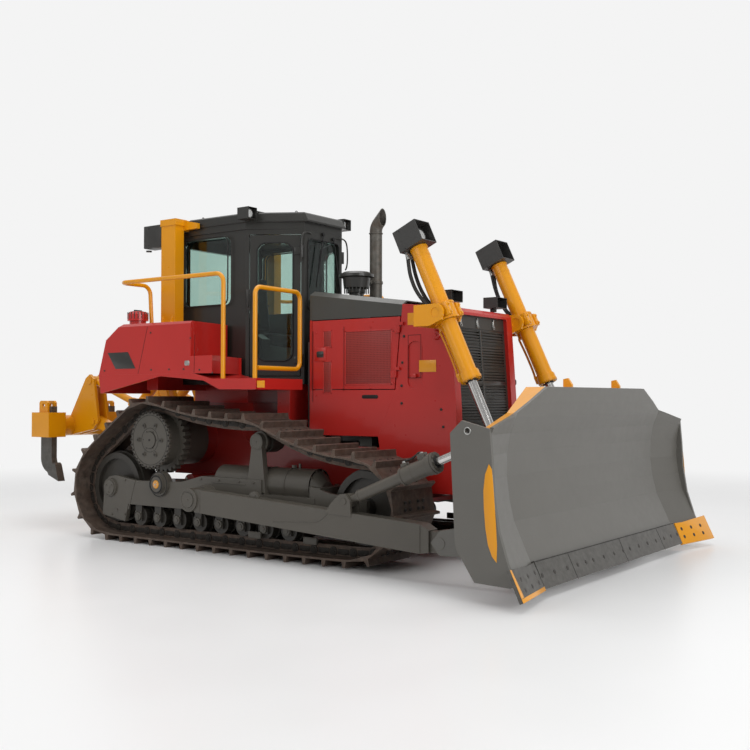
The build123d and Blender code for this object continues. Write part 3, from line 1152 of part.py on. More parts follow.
STACK_BEND_Z = 3130.0
STACK_TIP_X = 702.0       # the tip is cut off upright here
with BuildPart() as exhaust_stack:
    bent_tube([(STACK_X, EXHAUST_Y, ENGINE_TOP_Z + SEAT), (STACK_X, EXHAUST_Y, STACK_BEND_Z),
               (STACK_X + 150, EXHAUST_Y, STACK_BEND_Z + 160)], 110, EXHAUST_RADIUS)
    round_bar((STACK_X + 34, EXHAUST_Y, STACK_BEND_Z + 36), (STACK_X + 171, EXHAUST_Y, STACK_BEND_Z + 182),
              EXHAUST_RADIUS - 6, Mode.SUBTRACT)
    block(STACK_TIP_X, STACK_TIP_X + 300, EXHAUST_Y - 100, EXHAUST_Y + 100, STACK_BEND_Z, STACK_BEND_Z + 400, Mode.SUBTRACT)
exhaust_stack.part.label = "exhaust_stack"

CLEANER_BRIM = 171.0
CLEANER_TOP_Z = 2655.0
with BuildPart() as pre_cleaner:
    turned(
        [(0, ENGINE_TOP_Z + SEAT), (CLEANER_NECK, ENGINE_TOP_Z + SEAT), (CLEANER_NECK, 2440), (88, 2442), (88, 2480),
         (124, 2492), (135, CLEANER_TOP_Z - 66), (CLEANER_BRIM, CLEANER_TOP_Z - 58), (CLEANER_BRIM - 3, CLEANER_TOP_Z - 32),
         (CLEANER_BRIM * 0.72, CLEANER_TOP_Z - 9), (0, CLEANER_TOP_Z)],
        STACK_X, CLEANER_Y,
    )
pre_cleaner.part.label = "pre_cleaner"

RAIL_RADIUS = 21.0
with BuildPart() as handrail_rear_right:
    bent_tube([(-70, -1270, DECK_Z), (-70, -1270, 2580), (-1500, -1270, 2580), (-1500, -880, 2580),
               (-1470, -880, 2160)], 90, RAIL_RADIUS)

with BuildPart() as handrail_front_right:
    bent_tube([(325, -1270, DECK_Z), (325, -1270, 2430), (300, -620, 2430), (300, -620, 1700),
               (325, -1240, 1700)], 70, RAIL_RADIUS)

with BuildPart() as handrails:
    for rail in (handrail_rear_right, handrail_front_right):
        add(rail.part)
        add(mirrored(rail.part))
handrails.part.label = "handrails"

# -------------------------------------------------------------------- ripper
# A parallelogram: lower links, upper stays of the same length, and the beam that they carry level.
LINK_Y = 470.0
LINK_HALF = 42.0
RAM_Y = 250.0             # lift cylinders, inside the links
RAM_HALF = 34.0
RIPPER_LUG = 34.0
UPPER_FRONT_X = TOWER_PIN_X - LINK_REAR_X + LINK_FRONT_X
UPPER_FRONT_Z = TOWER_PIN_Z - LINK_REAR_Z + LINK_FRONT_Z
RAM_EYE_X = -2470.0
RAM_EYE_Z = 1240.0
RIPPER_PIN_RADIUS = 38.0


def clevis(y_centre, half, profile, thickness=RIPPER_LUG):
    """Two like plates that leave room for an eye between them."""
    slab_y(profile, y_centre - half - RUNNING_GAP - thickness, y_centre - half - RUNNING_GAP)
    slab_y(profile, y_centre + half + RUNNING_GAP, y_centre + half + RUNNING_GAP + thickness)


MOUNT_FACE_X = -1750 - SEAT
with BuildPart() as ripper_bracket:
    block(-1800, MOUNT_FACE_X, -640, 640, 700, 1380)
    for side in (-1, 1):
        clevis(side * LINK_Y, LINK_HALF, [
            (-1800, 760), (LINK_FRONT_X - 30, LINK_FRONT_Z - 70), (LINK_FRONT_X - 75, LINK_FRONT_Z),
            (LINK_FRONT_X - 30, LINK_FRONT_Z + 75), (-1960, 1130), (UPPER_FRONT_X - 10, UPPER_FRONT_Z - 75),
            (UPPER_FRONT_X - 75, UPPER_FRONT_Z), (UPPER_FRONT_X - 20, UPPER_FRONT_Z + 75), (-1800, 1380),
        ])
        clevis(side * RAM_Y, RAM_HALF, [
            (-1800, 1150), (RIPPER_LIFT_X - 20, RIPPER_LIFT_Z - 62), (RIPPER_LIFT_X - 62, RIPPER_LIFT_Z),
            (RIPPER_LIFT_X, RIPPER_LIFT_Z + 62), (RIPPER_LIFT_X + 60, RIPPER_LIFT_Z + 40), (-1800, 1380),
        ])
        for x, z, y, half in (
            (LINK_FRONT_X, LINK_FRONT_Z, LINK_Y, LINK_HALF), (UPPER_FRONT_X, UPPER_FRONT_Z, LINK_Y, LINK_HALF),
            (RIPPER_LIFT_X, RIPPER_LIFT_Z, RAM_Y, RAM_HALF),
        ):
            reach = half + RUNNING_GAP + RIPPER_LUG + 10
            disc_y(x, z, RIPPER_PIN_RADIUS, side * y - reach, side * y + reach)
ripper_bracket.part.label = "ripper_bracket"

with BuildPart() as ripper_link:
    for side in (-1, 1):
        centre = side * LINK_Y
        slab_y([(LINK_FRONT_X, LINK_FRONT_Z - 62), (LINK_FRONT_X, LINK_FRONT_Z + 62),
                (LINK_REAR_X, LINK_REAR_Z + 62), (LINK_REAR_X, LINK_REAR_Z - 62)],
               centre - LINK_HALF, centre + LINK_HALF)
        for x, z in ((LINK_FRONT_X, LINK_FRONT_Z), (LINK_REAR_X, LINK_REAR_Z)):
            disc_y(x, z, 62, centre - LINK_HALF, centre + LINK_HALF)
        disc_y(LINK_FRONT_X, LINK_FRONT_Z, RIPPER_PIN_RADIUS + PIN_GAP, centre - 60, centre + 60, Mode.SUBTRACT)
        disc_y(LINK_REAR_X, LINK_REAR_Z, RIPPER_PIN_RADIUS + PIN_GAP, centre - 60, centre + 60, Mode.SUBTRACT)
    slab_y([(-2540, 1010), (-2520, 1130), (-2380, 1080), (-2400, 965)], -LINK_Y, LINK_Y)
    for side in (-1, 1):
        clevis(side * RAM_Y, RAM_HALF, [
            (-2530, 1080), (RAM_EYE_X - 55, RAM_EYE_Z), (RAM_EYE_X - 20, RAM_EYE_Z + 52), (RAM_EYE_X + 40, RAM_EYE_Z + 30),
            (-2390, 1060),
        ], 26)
ripper_link.part.label = "ripper_link"

POCKET_HALF = 115.0
SHANK_HALF = 36.0
SHANK_REAR_X = -3328.0
SHANK_FRONT_X = -3137.0
SHANK_TOP_Z = 1330.0
BEAM_X = (RIPPER_REAR_X - 3085) / 2
BEAM_RADIUS = 118.0
KEEPER_Z = 1340.0         # the shanks' pins
POCKETS = (-RIPPER_HALF + POCKET_HALF, 0, RIPPER_HALF - POCKET_HALF)
with BuildPart() as ripper_beam:
    disc_y(BEAM_X, BEAM_Z, BEAM_RADIUS, -RIPPER_HALF + 20, RIPPER_HALF - 20)
    for pocket_y in POCKETS:
        block(RIPPER_REAR_X, -3085, pocket_y - POCKET_HALF, pocket_y + POCKET_HALF, 985, 1262)
    for pocket_y in POCKETS:
        block(SHANK_REAR_X - SEAT, SHANK_FRONT_X + SEAT, pocket_y - SHANK_HALF - SEAT, pocket_y + SHANK_HALF + SEAT,
              900, 1400, Mode.SUBTRACT)
        for lug_low in (pocket_y - SHANK_HALF - SEAT - 26, pocket_y + SHANK_HALF + SEAT):
            slab_y([(SHANK_REAR_X, 1261), (SHANK_REAR_X, 1372), (SHANK_REAR_X + 22, 1394), (SHANK_REAR_X + 128, 1394),
                    (SHANK_REAR_X + 150, 1372), (SHANK_REAR_X + 150, 1261)], lug_low, lug_low + 26)
            disc_y(SHANK_REAR_X + 75, KEEPER_Z, 24, lug_low - 1, lug_low + 27, Mode.SUBTRACT)
    for side in (-1, 1):
        clevis(side * LINK_Y, LINK_HALF, [
            (-3200, 1000), (-3200, 1225), (TOWER_PIN_X - 70, TOWER_PIN_Z + 30), (TOWER_PIN_X, TOWER_PIN_Z + 75),
            (TOWER_PIN_X + 70, TOWER_PIN_Z + 20), (LINK_REAR_X + 90, LINK_REAR_Z), (LINK_REAR_X, LINK_REAR_Z - 90),
        ])
        for x, z in ((LINK_REAR_X, LINK_REAR_Z), (TOWER_PIN_X, TOWER_PIN_Z)):
            reach = LINK_HALF + RUNNING_GAP + RIPPER_LUG + 10
            disc_y(x, z, RIPPER_PIN_RADIUS, side * LINK_Y - reach, side * LINK_Y + reach)
ripper_beam.part.label = "ripper_beam"

with BuildPart() as ripper_shanks:
    for pocket_y in POCKETS:
        with BuildSketch(Plane.XZ.offset(-pocket_y - SHANK_HALF)) as shank:
            with BuildLine():
                Polyline((SHANK_FRONT_X, 770), (SHANK_FRONT_X, SHANK_TOP_Z), (SHANK_REAR_X, SHANK_TOP_Z), (SHANK_REAR_X, 760))
                ThreePointArc((SHANK_REAR_X, 760), (-3297, 655), (-3205, 590))
                Polyline((-3205, 590), (-3090, 655))
                ThreePointArc((-3090, 655), (-3125, 708), (SHANK_FRONT_X, 770))
            make_face()
        extrude(shank.sketch, amount=2 * SHANK_HALF)
        slab_y([(-3215, 620), (-3180, 560), (-3000, 496), (-3060, 680), (-3085, 700), (-3110, 640)],
               pocket_y - SHANK_HALF - 9, pocket_y + SHANK_HALF + 9)
ripper_shanks.part.label = "ripper_shanks"

with BuildPart() as ripper_stays:
    for side in (-1, 1):
        centre = side * LINK_Y
        round_bar((UPPER_FRONT_X - 30, centre, UPPER_FRONT_Z + 10), (TOWER_PIN_X + 30, centre, TOWER_PIN_Z - 10), 38)
        for x, z in ((UPPER_FRONT_X, UPPER_FRONT_Z), (TOWER_PIN_X, TOWER_PIN_Z)):
            disc_y(x, z, 58, centre - LINK_HALF, centre + LINK_HALF)
        for x, z in ((UPPER_FRONT_X, UPPER_FRONT_Z), (TOWER_PIN_X, TOWER_PIN_Z)):
            disc_y(x, z, RIPPER_PIN_RADIUS + PIN_GAP, centre - 60, centre + 60, Mode.SUBTRACT)
ripper_stays.part.label = "ripper_stays"

RAM_AXIS = toward((RIPPER_LIFT_X, RIPPER_LIFT_Z), (RAM_EYE_X, RAM_EYE_Z))
RAM_LENGTH = 505.0        # barrel, from its pin to its gland
RAM_ROD_LENGTH = 515.0
RAM_ROD_RADIUS = 28.0
with BuildPart() as ripper_rams:
    for side in (-1, 1):
        pin = Vector(RIPPER_LIFT_X, side * RAM_Y, RIPPER_LIFT_Z)
        disc_y(pin.X, pin.Z, 55, pin.Y - RAM_HALF, pin.Y + RAM_HALF)
        round_bar(pin + RAM_AXIS * 86, pin + RAM_AXIS * RAM_LENGTH, 58)
        round_bar(pin + RAM_AXIS * 30, pin + RAM_AXIS * 90, 33)
        disc_y(pin.X, pin.Z, RIPPER_PIN_RADIUS + PIN_GAP, pin.Y - 60, pin.Y + 60, Mode.SUBTRACT)
        round_bar(pin + RAM_AXIS * 98, pin + RAM_AXIS * (RAM_LENGTH + 1), RAM_ROD_RADIUS + SEAT, Mode.SUBTRACT)
ripper_rams.part.label = "ripper_rams"

with BuildPart() as ripper_rods:
    for side in (-1, 1):
        eye = Vector(RAM_EYE_X, side * RAM_Y, RAM_EYE_Z)
        round_bar(eye - RAM_AXIS * RAM_ROD_LENGTH, eye - RAM_AXIS * 20, RAM_ROD_RADIUS)
        disc_y(eye.X, eye.Z, 46, eye.Y - RAM_HALF, eye.Y + RAM_HALF)
ripper_rods.part.label = "ripper_rods"

# ------------------------------------------------------------- lamps and glass
with BuildPart() as lift_lamp_right:
    lamp_base = YOKE - LIFT_AXIS * (LIFT_ABOVE_YOKE + SEAT)
    with BuildSketch(Plane(origin=lamp_base, x_dir=(0, 1, 0), z_dir=LIFT_AXIS * -1)):
        Rectangle(230, 250)
    extrude(amount=200)
lift_lamp_right.part.label = "lift_lamp_right"

# Lamps stand on the guard and on arms beside the roof; a closed box hangs behind the right post.
GUARD_LAMP_Y = 403.0
ROOF_LAMPS = ((-310.0, -700.0, ROOF_TOP_Z - 33), (-126.0, 580.0, ROOF_TOP_Z + 8))
LAMP_HALF = (75.0, 62.0, 58.0)
ARM_THICKNESS = 14.0
with BuildPart() as work_lamps:
    for lamp_side in (-1, 1):
        slab_y([(1760, guard_top_z(1760) + SEAT), (1885, guard_top_z(1885) + SEAT), (1917, 2268), (1917, 2372),
                (1760, 2372)], lamp_side * GUARD_LAMP_Y - 95, lamp_side * GUARD_LAMP_Y + 95)
    for x, y, z in ROOF_LAMPS:
        half_x, half_y, half_z = LAMP_HALF
        block(x - half_x, x + half_x, y - half_y, y + half_y, z - half_z, z + half_z)
    near_x, near_y, near_z = ROOF_LAMPS[0]
    block(near_x - 22, near_x + 22, near_y + LAMP_HALF[1] - 2, near_y + 220, ROOF_TOP_Z + SEAT, ROOF_TOP_Z + ARM_THICKNESS)
    far_x, far_y, far_z = ROOF_LAMPS[1]
    block(far_x - 240, far_x - LAMP_HALF[0] + 2, far_y - 80, far_y - 40, ROOF_TOP_Z + SEAT, ROOF_TOP_Z + ARM_THICKNESS)
    block(ROPS_REAR_X - 280, ROPS_REAR_X - 10 - SEAT, -ROPS_OUTER_Y + 5, -ROPS_INNER_Y + 45, 2988, 3226)
work_lamps.part.label = "work_lamps"

# ------------------------------------------------------------ left-hand pieces
with BuildPart() as track_left:
    add(mirrored(track_right.part))
track_left.part.label = "track_left"

with BuildPart() as track_frame_left:
    add(mirrored(track_frame_right.part))
track_frame_left.part.label = "track_frame_left"

with BuildPart() as track_wheels_left:
    add(mirrored(track_wheels_right.part))
track_wheels_left.part.label = "track_wheels_left"

with BuildPart() as final_drive_left:
    add(mirrored(final_drive_right.part))
final_drive_left.part.label = "final_drive_left"

with BuildPart() as push_arm_left:
    add(mirrored(push_arm_right.part))
push_arm_left.part.label = "push_arm_left"

with BuildPart() as lift_barrel_left:
    add(mirrored(lift_barrel_right.part))
lift_barrel_left.part.label = "lift_barrel_left"

with BuildPart() as lift_rod_left:
    add(mirrored(lift_rod_right.part))
lift_rod_left.part.label = "lift_rod_left"

with BuildPart() as lift_lamp_left:
    add(mirrored(lift_lamp_right.part))
lift_lamp_left.part.label = "lift_lamp_left"

with BuildPart() as tilt_barrel_left:
    add(mirrored(tilt_barrel_right.part))
tilt_barrel_left.part.label = "tilt_barrel_left"

with BuildPart() as tilt_rod_left:
    add(mirrored(tilt_rod_right.part))
tilt_rod_left.part.label = "tilt_rod_left"

with BuildPart() as engine_door_left:
    add(mirrored(engine_door_right.part))
engine_door_left.part.label = "engine_door_left"

with BuildPart() as fender_left:
    add(mirrored(fender_sheet.part))
fender_left.part.label = "fender_left"

with BuildPart() as cab_door_left:
    add(mirrored(cab_door_right.part))
cab_door_left.part.label = "cab_door_left"

with BuildPart() as door_glass_left:
    add(mirrored(door_glass_right.part))
door_glass_left.part.label = "door_glass_left"

# -------------------------------------------------------------------- export
for piece in (
    cab_mount, track_right, track_frame_right, track_wheels_right, final_drive_right, push_arm_right,
    moldboard, blade_frame, end_plates, cutting_edge, end_bits, lift_barrel_right, lift_rod_right,
    tilt_barrel_right, tilt_rod_right, main_frame, engine_block, hood, engine_door_right,
    side_panels, radiator_guard, radiator_core, grille, lift_brackets, decks, fender_right,
    cab_frame, cab_glass, cab_roof, cab_door_right, door_glass_right, rops, seat_base, seat_pads,
    exhaust_stack, pre_cleaner, handrails, ripper_bracket, ripper_link, ripper_beam, ripper_shanks,
    ripper_stays, ripper_rams, ripper_rods, lift_lamp_right, work_lamps, track_left,
    track_frame_left, track_wheels_left, final_drive_left, push_arm_left, lift_barrel_left,
    lift_rod_left, lift_lamp_left, tilt_barrel_left, tilt_rod_left, engine_door_left, fender_left,
    cab_door_left, door_glass_left,
):
    export_step(piece.part, f"parts/{piece.part.label}.step")
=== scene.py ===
# %% [markdown]
# # Dressing a bulldozer over its CAD frame
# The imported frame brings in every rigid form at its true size, and one empty for each body that
# moves. This script adds what a solid model leaves out: paint, glass, hoses, bolts, lamps,
# louvres and the seat's upholstery. Each small piece is fixed to a body, so it moves with it.

# %% Frame
from math import atan2, cos, hypot, pi, radians, sin, sqrt

import bmesh
import bpy
from mathutils import Matrix, Vector


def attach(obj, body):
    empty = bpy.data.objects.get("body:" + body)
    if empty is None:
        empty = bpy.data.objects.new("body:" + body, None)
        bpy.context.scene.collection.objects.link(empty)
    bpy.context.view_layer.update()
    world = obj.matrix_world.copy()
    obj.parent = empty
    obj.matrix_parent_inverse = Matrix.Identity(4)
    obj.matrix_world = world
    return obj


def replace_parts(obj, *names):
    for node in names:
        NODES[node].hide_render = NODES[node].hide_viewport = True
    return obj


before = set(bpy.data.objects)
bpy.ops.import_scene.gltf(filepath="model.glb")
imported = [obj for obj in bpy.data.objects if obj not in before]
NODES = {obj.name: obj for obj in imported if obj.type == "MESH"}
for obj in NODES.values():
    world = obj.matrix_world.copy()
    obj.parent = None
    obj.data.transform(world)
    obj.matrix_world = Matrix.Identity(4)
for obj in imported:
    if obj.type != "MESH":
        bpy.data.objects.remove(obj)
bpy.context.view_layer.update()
scene = bpy.context.scene

# %% [markdown]
# ## Camera
# The viewer stands low, ahead of the machine's right front corner, and looks almost level. A
# camera is placed by a point and a direction, which Blender turns into a rotation: its own view
# runs down its negative Z axis.

# %% Camera
AZIMUTH = radians(35.93)
PITCH = radians(1.297)
ROLL = radians(0.063)
camera_data = bpy.data.cameras.new("studio_camera")
camera_data.sensor_width = 36
camera_data.lens = 49.16
camera = bpy.data.objects.new("studio_camera", camera_data)
scene.collection.objects.link(camera)
forward = Vector((-sin(AZIMUTH) * cos(PITCH), cos(AZIMUTH) * cos(PITCH), sin(PITCH)))
camera.matrix_world = (
    Matrix.Translation((6.5776, -8.0645, 1.4269))
    @ forward.to_track_quat("-Z", "Y").to_matrix().to_4x4()
    @ Matrix.Rotation(ROLL, 4, "Z")
)
scene.camera = camera

# %% [markdown]
# ## Hoses of the lift cylinders
# Two rubber hoses leave the lamp box at the top of each lift cylinder, bow out behind the
# barrel and end in the yoke's collar. A mesh tube would need its rings worked out. A NURBS curve
# with a round bevel only needs a few points where the hose really goes, so that is used. The
# points are measured up the barrel from the yoke, out behind it, and sideways, in millimetres.

# %% Hose routes
YOKE = Vector((1976, 0, 2143))
LIFT_EYE = Vector((2685, 0, 600))
DOWN_BARREL = (LIFT_EYE - YOKE).normalized()
BEHIND_BARREL = Vector((DOWN_BARREL.z, 0, -DOWN_BARREL.x))
LIFT_Y = 708.0
HOSE_RADIUS = 16.5
HOSE_ROUTES = {
    "outer": (-46, [(638, 104), (600, 106), (545, 124), (450, 150), (330, 156), (230, 138), (160, 112), (118, 99),
                    (92, 98)], 0.5600),
    "inner": (8, [(638, 100), (600, 101), (545, 112), (450, 130), (330, 136), (230, 124), (160, 106), (118, 98),
                  (92, 97)], 0.5535),
}


def on_barrel(side, up, behind, across=0.0):
    """Point beside a lift cylinder, in millimetres: side is -1 on the right and 1 on the left."""
    return YOKE - DOWN_BARREL * up + BEHIND_BARREL * behind + Vector((0, side * (LIFT_Y - across), 0))


hoses = []
for side, hand in ((-1, "right"), (1, "left")):
    for place, (across, points, length) in HOSE_ROUTES.items():
        curve = bpy.data.curves.new(f"lift_hose_{hand}_{place}", "CURVE")
        curve.dimensions = "3D"
        curve.bevel_depth = 1.0
        curve.bevel_resolution = 4
        curve.use_fill_caps = True
        spline = curve.splines.new("NURBS")
        spline.points.add(len(points) - 1)
        for point, (up, behind) in zip(spline.points, points):
            point.co = (*(on_barrel(side, up, behind, across) / 1000), 1)
            point.radius = HOSE_RADIUS / 1000
        spline.order_u = 3
        spline.use_endpoint_u = True
        spline.resolution_u = 10
        hose = bpy.data.objects.new(curve.name, curve)
        scene.collection.objects.link(hose)
        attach(hose, f"lift_barrel_{hand}")
        hoses.append(hose)
print(len(hoses), "hoses, each", 2 * HOSE_RADIUS, "mm across")

# %% [markdown]
# ## Colours and nodes
# A paint's colour is written as it looks on a screen, in sRGB hex, and Blender computes in
# linear light, so one function converts. One more adds any node with its settings and links,
# which keeps each finish below short enough to read as a recipe.


# %% Helpers for finishes
def linear(hex_colour, factor=1.0):
    """Screen colour such as "c22026" as linear RGBA, made lighter or darker by a factor."""
    channels = [int(hex_colour[i:i + 2], 16) / 255 for i in (0, 2, 4)]
    straight = [c / 12.92 if c <= 0.04045 else ((c + 0.055) / 1.055) ** 2.4 for c in channels]
    return tuple(min(1.0, c * factor) for c in straight) + (1.0,)


def node(tree, kind, inputs=(), **settings):
    """Adds a node, sets its properties, and fills its inputs from {socket: value or output}."""
    made = tree.nodes.new(kind)
    for name, value in settings.items():
        setattr(made, name, value)
    for socket, value in dict(inputs).items():
        if isinstance(value, bpy.types.NodeSocket):
            tree.links.new(value, made.inputs[socket])
        else:
            made.inputs[socket].default_value = value
    return made


def blank_finish(name, **constants):
    """New material, its tree, its surface shader and its Object coordinates."""
    material = bpy.data.materials.new(name)
    material.use_nodes = True
    tree = material.node_tree
    surface = tree.nodes["Principled BSDF"]
    for socket, value in constants.items():
        surface.inputs[socket.replace("_", " ")].default_value = value
    return material, tree, surface, node(tree, "ShaderNodeTexCoord").outputs["Object"]


def rounded_edge(tree, radius):
    """Normal that rounds an edge by so many millimetres, and how near the edge a point is."""
    soft = node(tree, "ShaderNodeBevel", {"Radius": radius / 1000}, samples=4).outputs["Normal"]
    hard = node(tree, "ShaderNodeNewGeometry").outputs["Normal"]
    same = node(tree, "ShaderNodeVectorMath", {0: soft, 1: hard}, operation="DOT_PRODUCT").outputs["Value"]
    return soft, node(tree, "ShaderNodeMapRange", {"Value": same, 1: 0.995, 2: 0.86, 3: 0.0, 4: 1.0}).outputs["Result"]


# %% [markdown]
# ## Sprayed machine enamel
# The sheets and castings are sprayed with a two-pack enamel. To the eye it is a deep even colour
# with a fine orange-peel ripple about 4 mm across, drifting a little in tone over half a metre,
# with a painted highlight that pales each rounded edge, and with a thin film of dust on what faces up.


# %% Enamel
def sprayed_enamel(name, hex_colour, gloss=(0.24, 0.36), coat=0.3, dust=0.06, dust_colour="8f877b", edge=0.35,
                   below=None):
    """Paint from its colour, range of roughness, clear coat, dust and painted edge highlight; below is a second
    (colour, height in m).
    """
    material, tree, surface, place = blank_finish(
        name, Coat_Weight=coat, Coat_Roughness=0.09, Specular_IOR_Level=0.42, IOR=1.5)
    soft, near_edge = rounded_edge(tree, 3.0)
    drift = node(tree, "ShaderNodeTexNoise", {"Vector": place, "Scale": 2.4, "Detail": 2.0}).outputs["Fac"]
    body = node(tree, "ShaderNodeMix", {0: drift, 6: linear(hex_colour, 0.92), 7: linear(hex_colour, 1.08)},
                data_type="RGBA").outputs[2]
    if below:
        height = node(tree, "ShaderNodeSeparateXYZ", {0: place}).outputs["Z"]
        above = node(tree, "ShaderNodeMapRange",
                     {"Value": height, 1: below[1] - 0.003, 2: below[1] + 0.003}).outputs["Result"]
        body = node(tree, "ShaderNodeMix", {0: above, 6: linear(below[0]), 7: body}, data_type="RGBA").outputs[2]
    # Painted highlight: near a rounded edge the paint is lightened towards 1.9 times its colour, by the share edge.
    edge_highlight = node(tree, "ShaderNodeMath", {0: near_edge, 1: edge}, operation="MULTIPLY").outputs[0]
    highlighted = node(tree, "ShaderNodeMix", {0: edge_highlight, 6: body, 7: linear(hex_colour, 1.9)}, data_type="RGBA").outputs[2]
    patches = node(tree, "ShaderNodeTexNoise", {"Vector": place, "Scale": 6.5, "Detail": 6.0, "Roughness": 0.65})
    up = node(tree, "ShaderNodeSeparateXYZ", {0: node(tree, "ShaderNodeNewGeometry").outputs["Normal"]}).outputs["Z"]
    lies = node(tree, "ShaderNodeMapRange",
                {"Value": up, 1: 0.0, 2: 1.0, 3: dust * 0.4, 4: dust * 2.2}).outputs["Result"]
    veil = node(tree, "ShaderNodeMath", {0: patches.outputs["Fac"], 1: lies}, operation="MULTIPLY").outputs[0]
    tree.links.new(
        node(tree, "ShaderNodeMix", {0: veil, 6: highlighted, 7: linear(dust_colour)}, data_type="RGBA").outputs[2],
        surface.inputs["Base Color"])
    cloud = node(tree, "ShaderNodeTexNoise", {"Vector": place, "Scale": 14.0, "Detail": 4.0}).outputs["Fac"]
    tree.links.new(node(tree, "ShaderNodeMapRange", {"Value": cloud, 3: gloss[0], 4: gloss[1]}).outputs["Result"],
                   surface.inputs["Roughness"])
    peel = node(tree, "ShaderNodeTexNoise", {"Vector": place, "Scale": 250.0, "Detail": 2.0}).outputs["Fac"]
    tree.links.new(
        node(tree, "ShaderNodeBump", {"Height": peel, "Distance": 0.00012, "Strength": 0.5, "Normal": soft})
        .outputs["Normal"], surface.inputs["Normal"])
    return material


RED_ENAMEL = sprayed_enamel("red_enamel", "b4201a", coat=0.25, dust=0.03)
# Painted shade: a darker copy of the red enamel for the main frame, which lies behind and under the panels.
RED_ENAMEL_SHADED = sprayed_enamel("red_enamel_painted_shade", "8f1f1a", coat=0.3, dust=0.03)
YELLOW_ENAMEL = sprayed_enamel("yellow_enamel", "dd9300", coat=0.2, dust=0.03)
BLADE_BACK_ENAMEL = sprayed_enamel(
    "blade_back_enamel", "dd9300", coat=0.2, dust=0.03, edge=0.05, below=("5f5d58", 1.085))
BLACK_ENAMEL = sprayed_enamel("black_enamel", "242421", (0.3, 0.44), 0.2, 0.05)
HOOD_ENAMEL = sprayed_enamel("hood_enamel", "3a3b37", (0.3, 0.44), 0.2, 0.06, "a39b8c")
FRAME_ENAMEL = sprayed_enamel("frame_enamel", "504c45", (0.34, 0.48), 0.12, 0.12, "6f675b")
BLADE_ENAMEL = sprayed_enamel("blade_enamel", "5f5d58", (0.34, 0.46), 0.1, 0.05, "77736b")
DARK_ENAMEL = sprayed_enamel("wheel_enamel", "322f2a", (0.36, 0.5), 0.1, 0.12, "5a5248")
SEAM_SHADOW = sprayed_enamel("seam_shadow", "15110f", (0.6, 0.75), 0.0, 0.0, edge=0.0)

# %% [markdown]
# ## Bare and forged steel
# Track shoes are rolled and hardened steel with a thin brown skin, polished where they meet the
# ground. Wear plates are ground grey. Zinc-plated fittings are pale and even. All are streaky at
# a few centimetres and pitted at a few millimetres, so they share one recipe. Each edge is lightened
# by a painted highlight, which on the shoes also stands for their polish.


# %% Steel
def worked_steel(name, dark, light, edge, gloss=(0.4, 0.62), metallic=0.35, pit=0.35, rust=None):
    """Steel from its two tones, the colour of its painted edge highlight and how deep it is pitted."""
    material, tree, surface, place = blank_finish(name, Metallic=metallic, Specular_IOR_Level=0.4)
    soft, near_edge = rounded_edge(tree, 2.5)
    grain = node(tree, "ShaderNodeTexNoise", {"Vector": place, "Scale": 18.0, "Detail": 6.0, "Roughness": 0.62})
    spread = node(tree, "ShaderNodeMapRange", {"Value": grain.outputs["Fac"], 1: 0.32, 2: 0.68}).outputs["Result"]
    colour = node(tree, "ShaderNodeMix", {0: spread, 6: linear(dark), 7: linear(light)}, data_type="RGBA").outputs[2]
    if rust:
        bloom = node(tree, "ShaderNodeTexNoise", {"Vector": place, "Scale": 7.5, "Detail": 6.0, "Roughness": 0.7})
        amount = node(tree, "ShaderNodeMapRange", {"Value": bloom.outputs["Fac"], 1: 0.46, 2: 0.7, 3: 0.0, 4: 0.6})
        colour = node(tree, "ShaderNodeMix", {0: amount.outputs["Result"], 6: colour, 7: linear(rust)},
                      data_type="RGBA").outputs[2]
    # Painted highlight: near a rounded edge the steel turns towards the edge colour by seven tenths; on the track shoes
    # it also stands for their polish.
    edge_highlight = node(tree, "ShaderNodeMath", {0: near_edge, 1: 0.7}, operation="MULTIPLY").outputs[0]
    tree.links.new(
        node(tree, "ShaderNodeMix", {0: edge_highlight, 6: colour, 7: linear(edge)}, data_type="RGBA").outputs[2],
        surface.inputs["Base Color"])
    cloud = node(tree, "ShaderNodeTexNoise", {"Vector": place, "Scale": 40.0, "Detail": 5.0}).outputs["Fac"]
    tree.links.new(node(tree, "ShaderNodeMapRange", {"Value": cloud, 3: gloss[0], 4: gloss[1]}).outputs["Result"],
                   surface.inputs["Roughness"])
    pits = node(tree, "ShaderNodeTexNoise", {"Vector": place, "Scale": 110.0, "Detail": 4.0}).outputs["Fac"]
    tree.links.new(
        node(tree, "ShaderNodeBump", {"Height": pits, "Distance": pit / 1000, "Strength": 0.6, "Normal": soft})
        .outputs["Normal"], surface.inputs["Normal"])
    return material


SHOE_STEEL = worked_steel("rolled_shoe_steel", "463c36", "685a50", "958a80", rust="5a4436")
LINK_STEEL = worked_steel("forged_link_steel", "1f1c19", "35302b", "5e564e")
WEAR_STEEL = worked_steel("ground_wear_steel", "4d4b47", "605e5a", "8b8985", (0.34, 0.5), pit=0.2)
STACK_STEEL = worked_steel("heat_dulled_steel", "46443f", "63605a", "8b8880", (0.42, 0.6), rust="5a4a3c")
ZINC_STEEL = worked_steel("zinc_plated_steel", "8b8b89", "b7b7b3", "d8d8d4", (0.25, 0.4), 0.8, 0.1)
BOLT_STEEL = worked_steel("black_oxide_steel", "262321", "3d3936", "6d6862", (0.36, 0.5), 0.4, 0.15)

# %% [markdown]
# ## Chrome, rubber, plastic and glass
# Cylinder rods are ground and hard-chromed: a mirror with the faintest lines round the rod.
# Hoses are nitrile rubber with a woven cover, lamp housings are moulded ABS, and windows are
# tempered glass, faintly green.


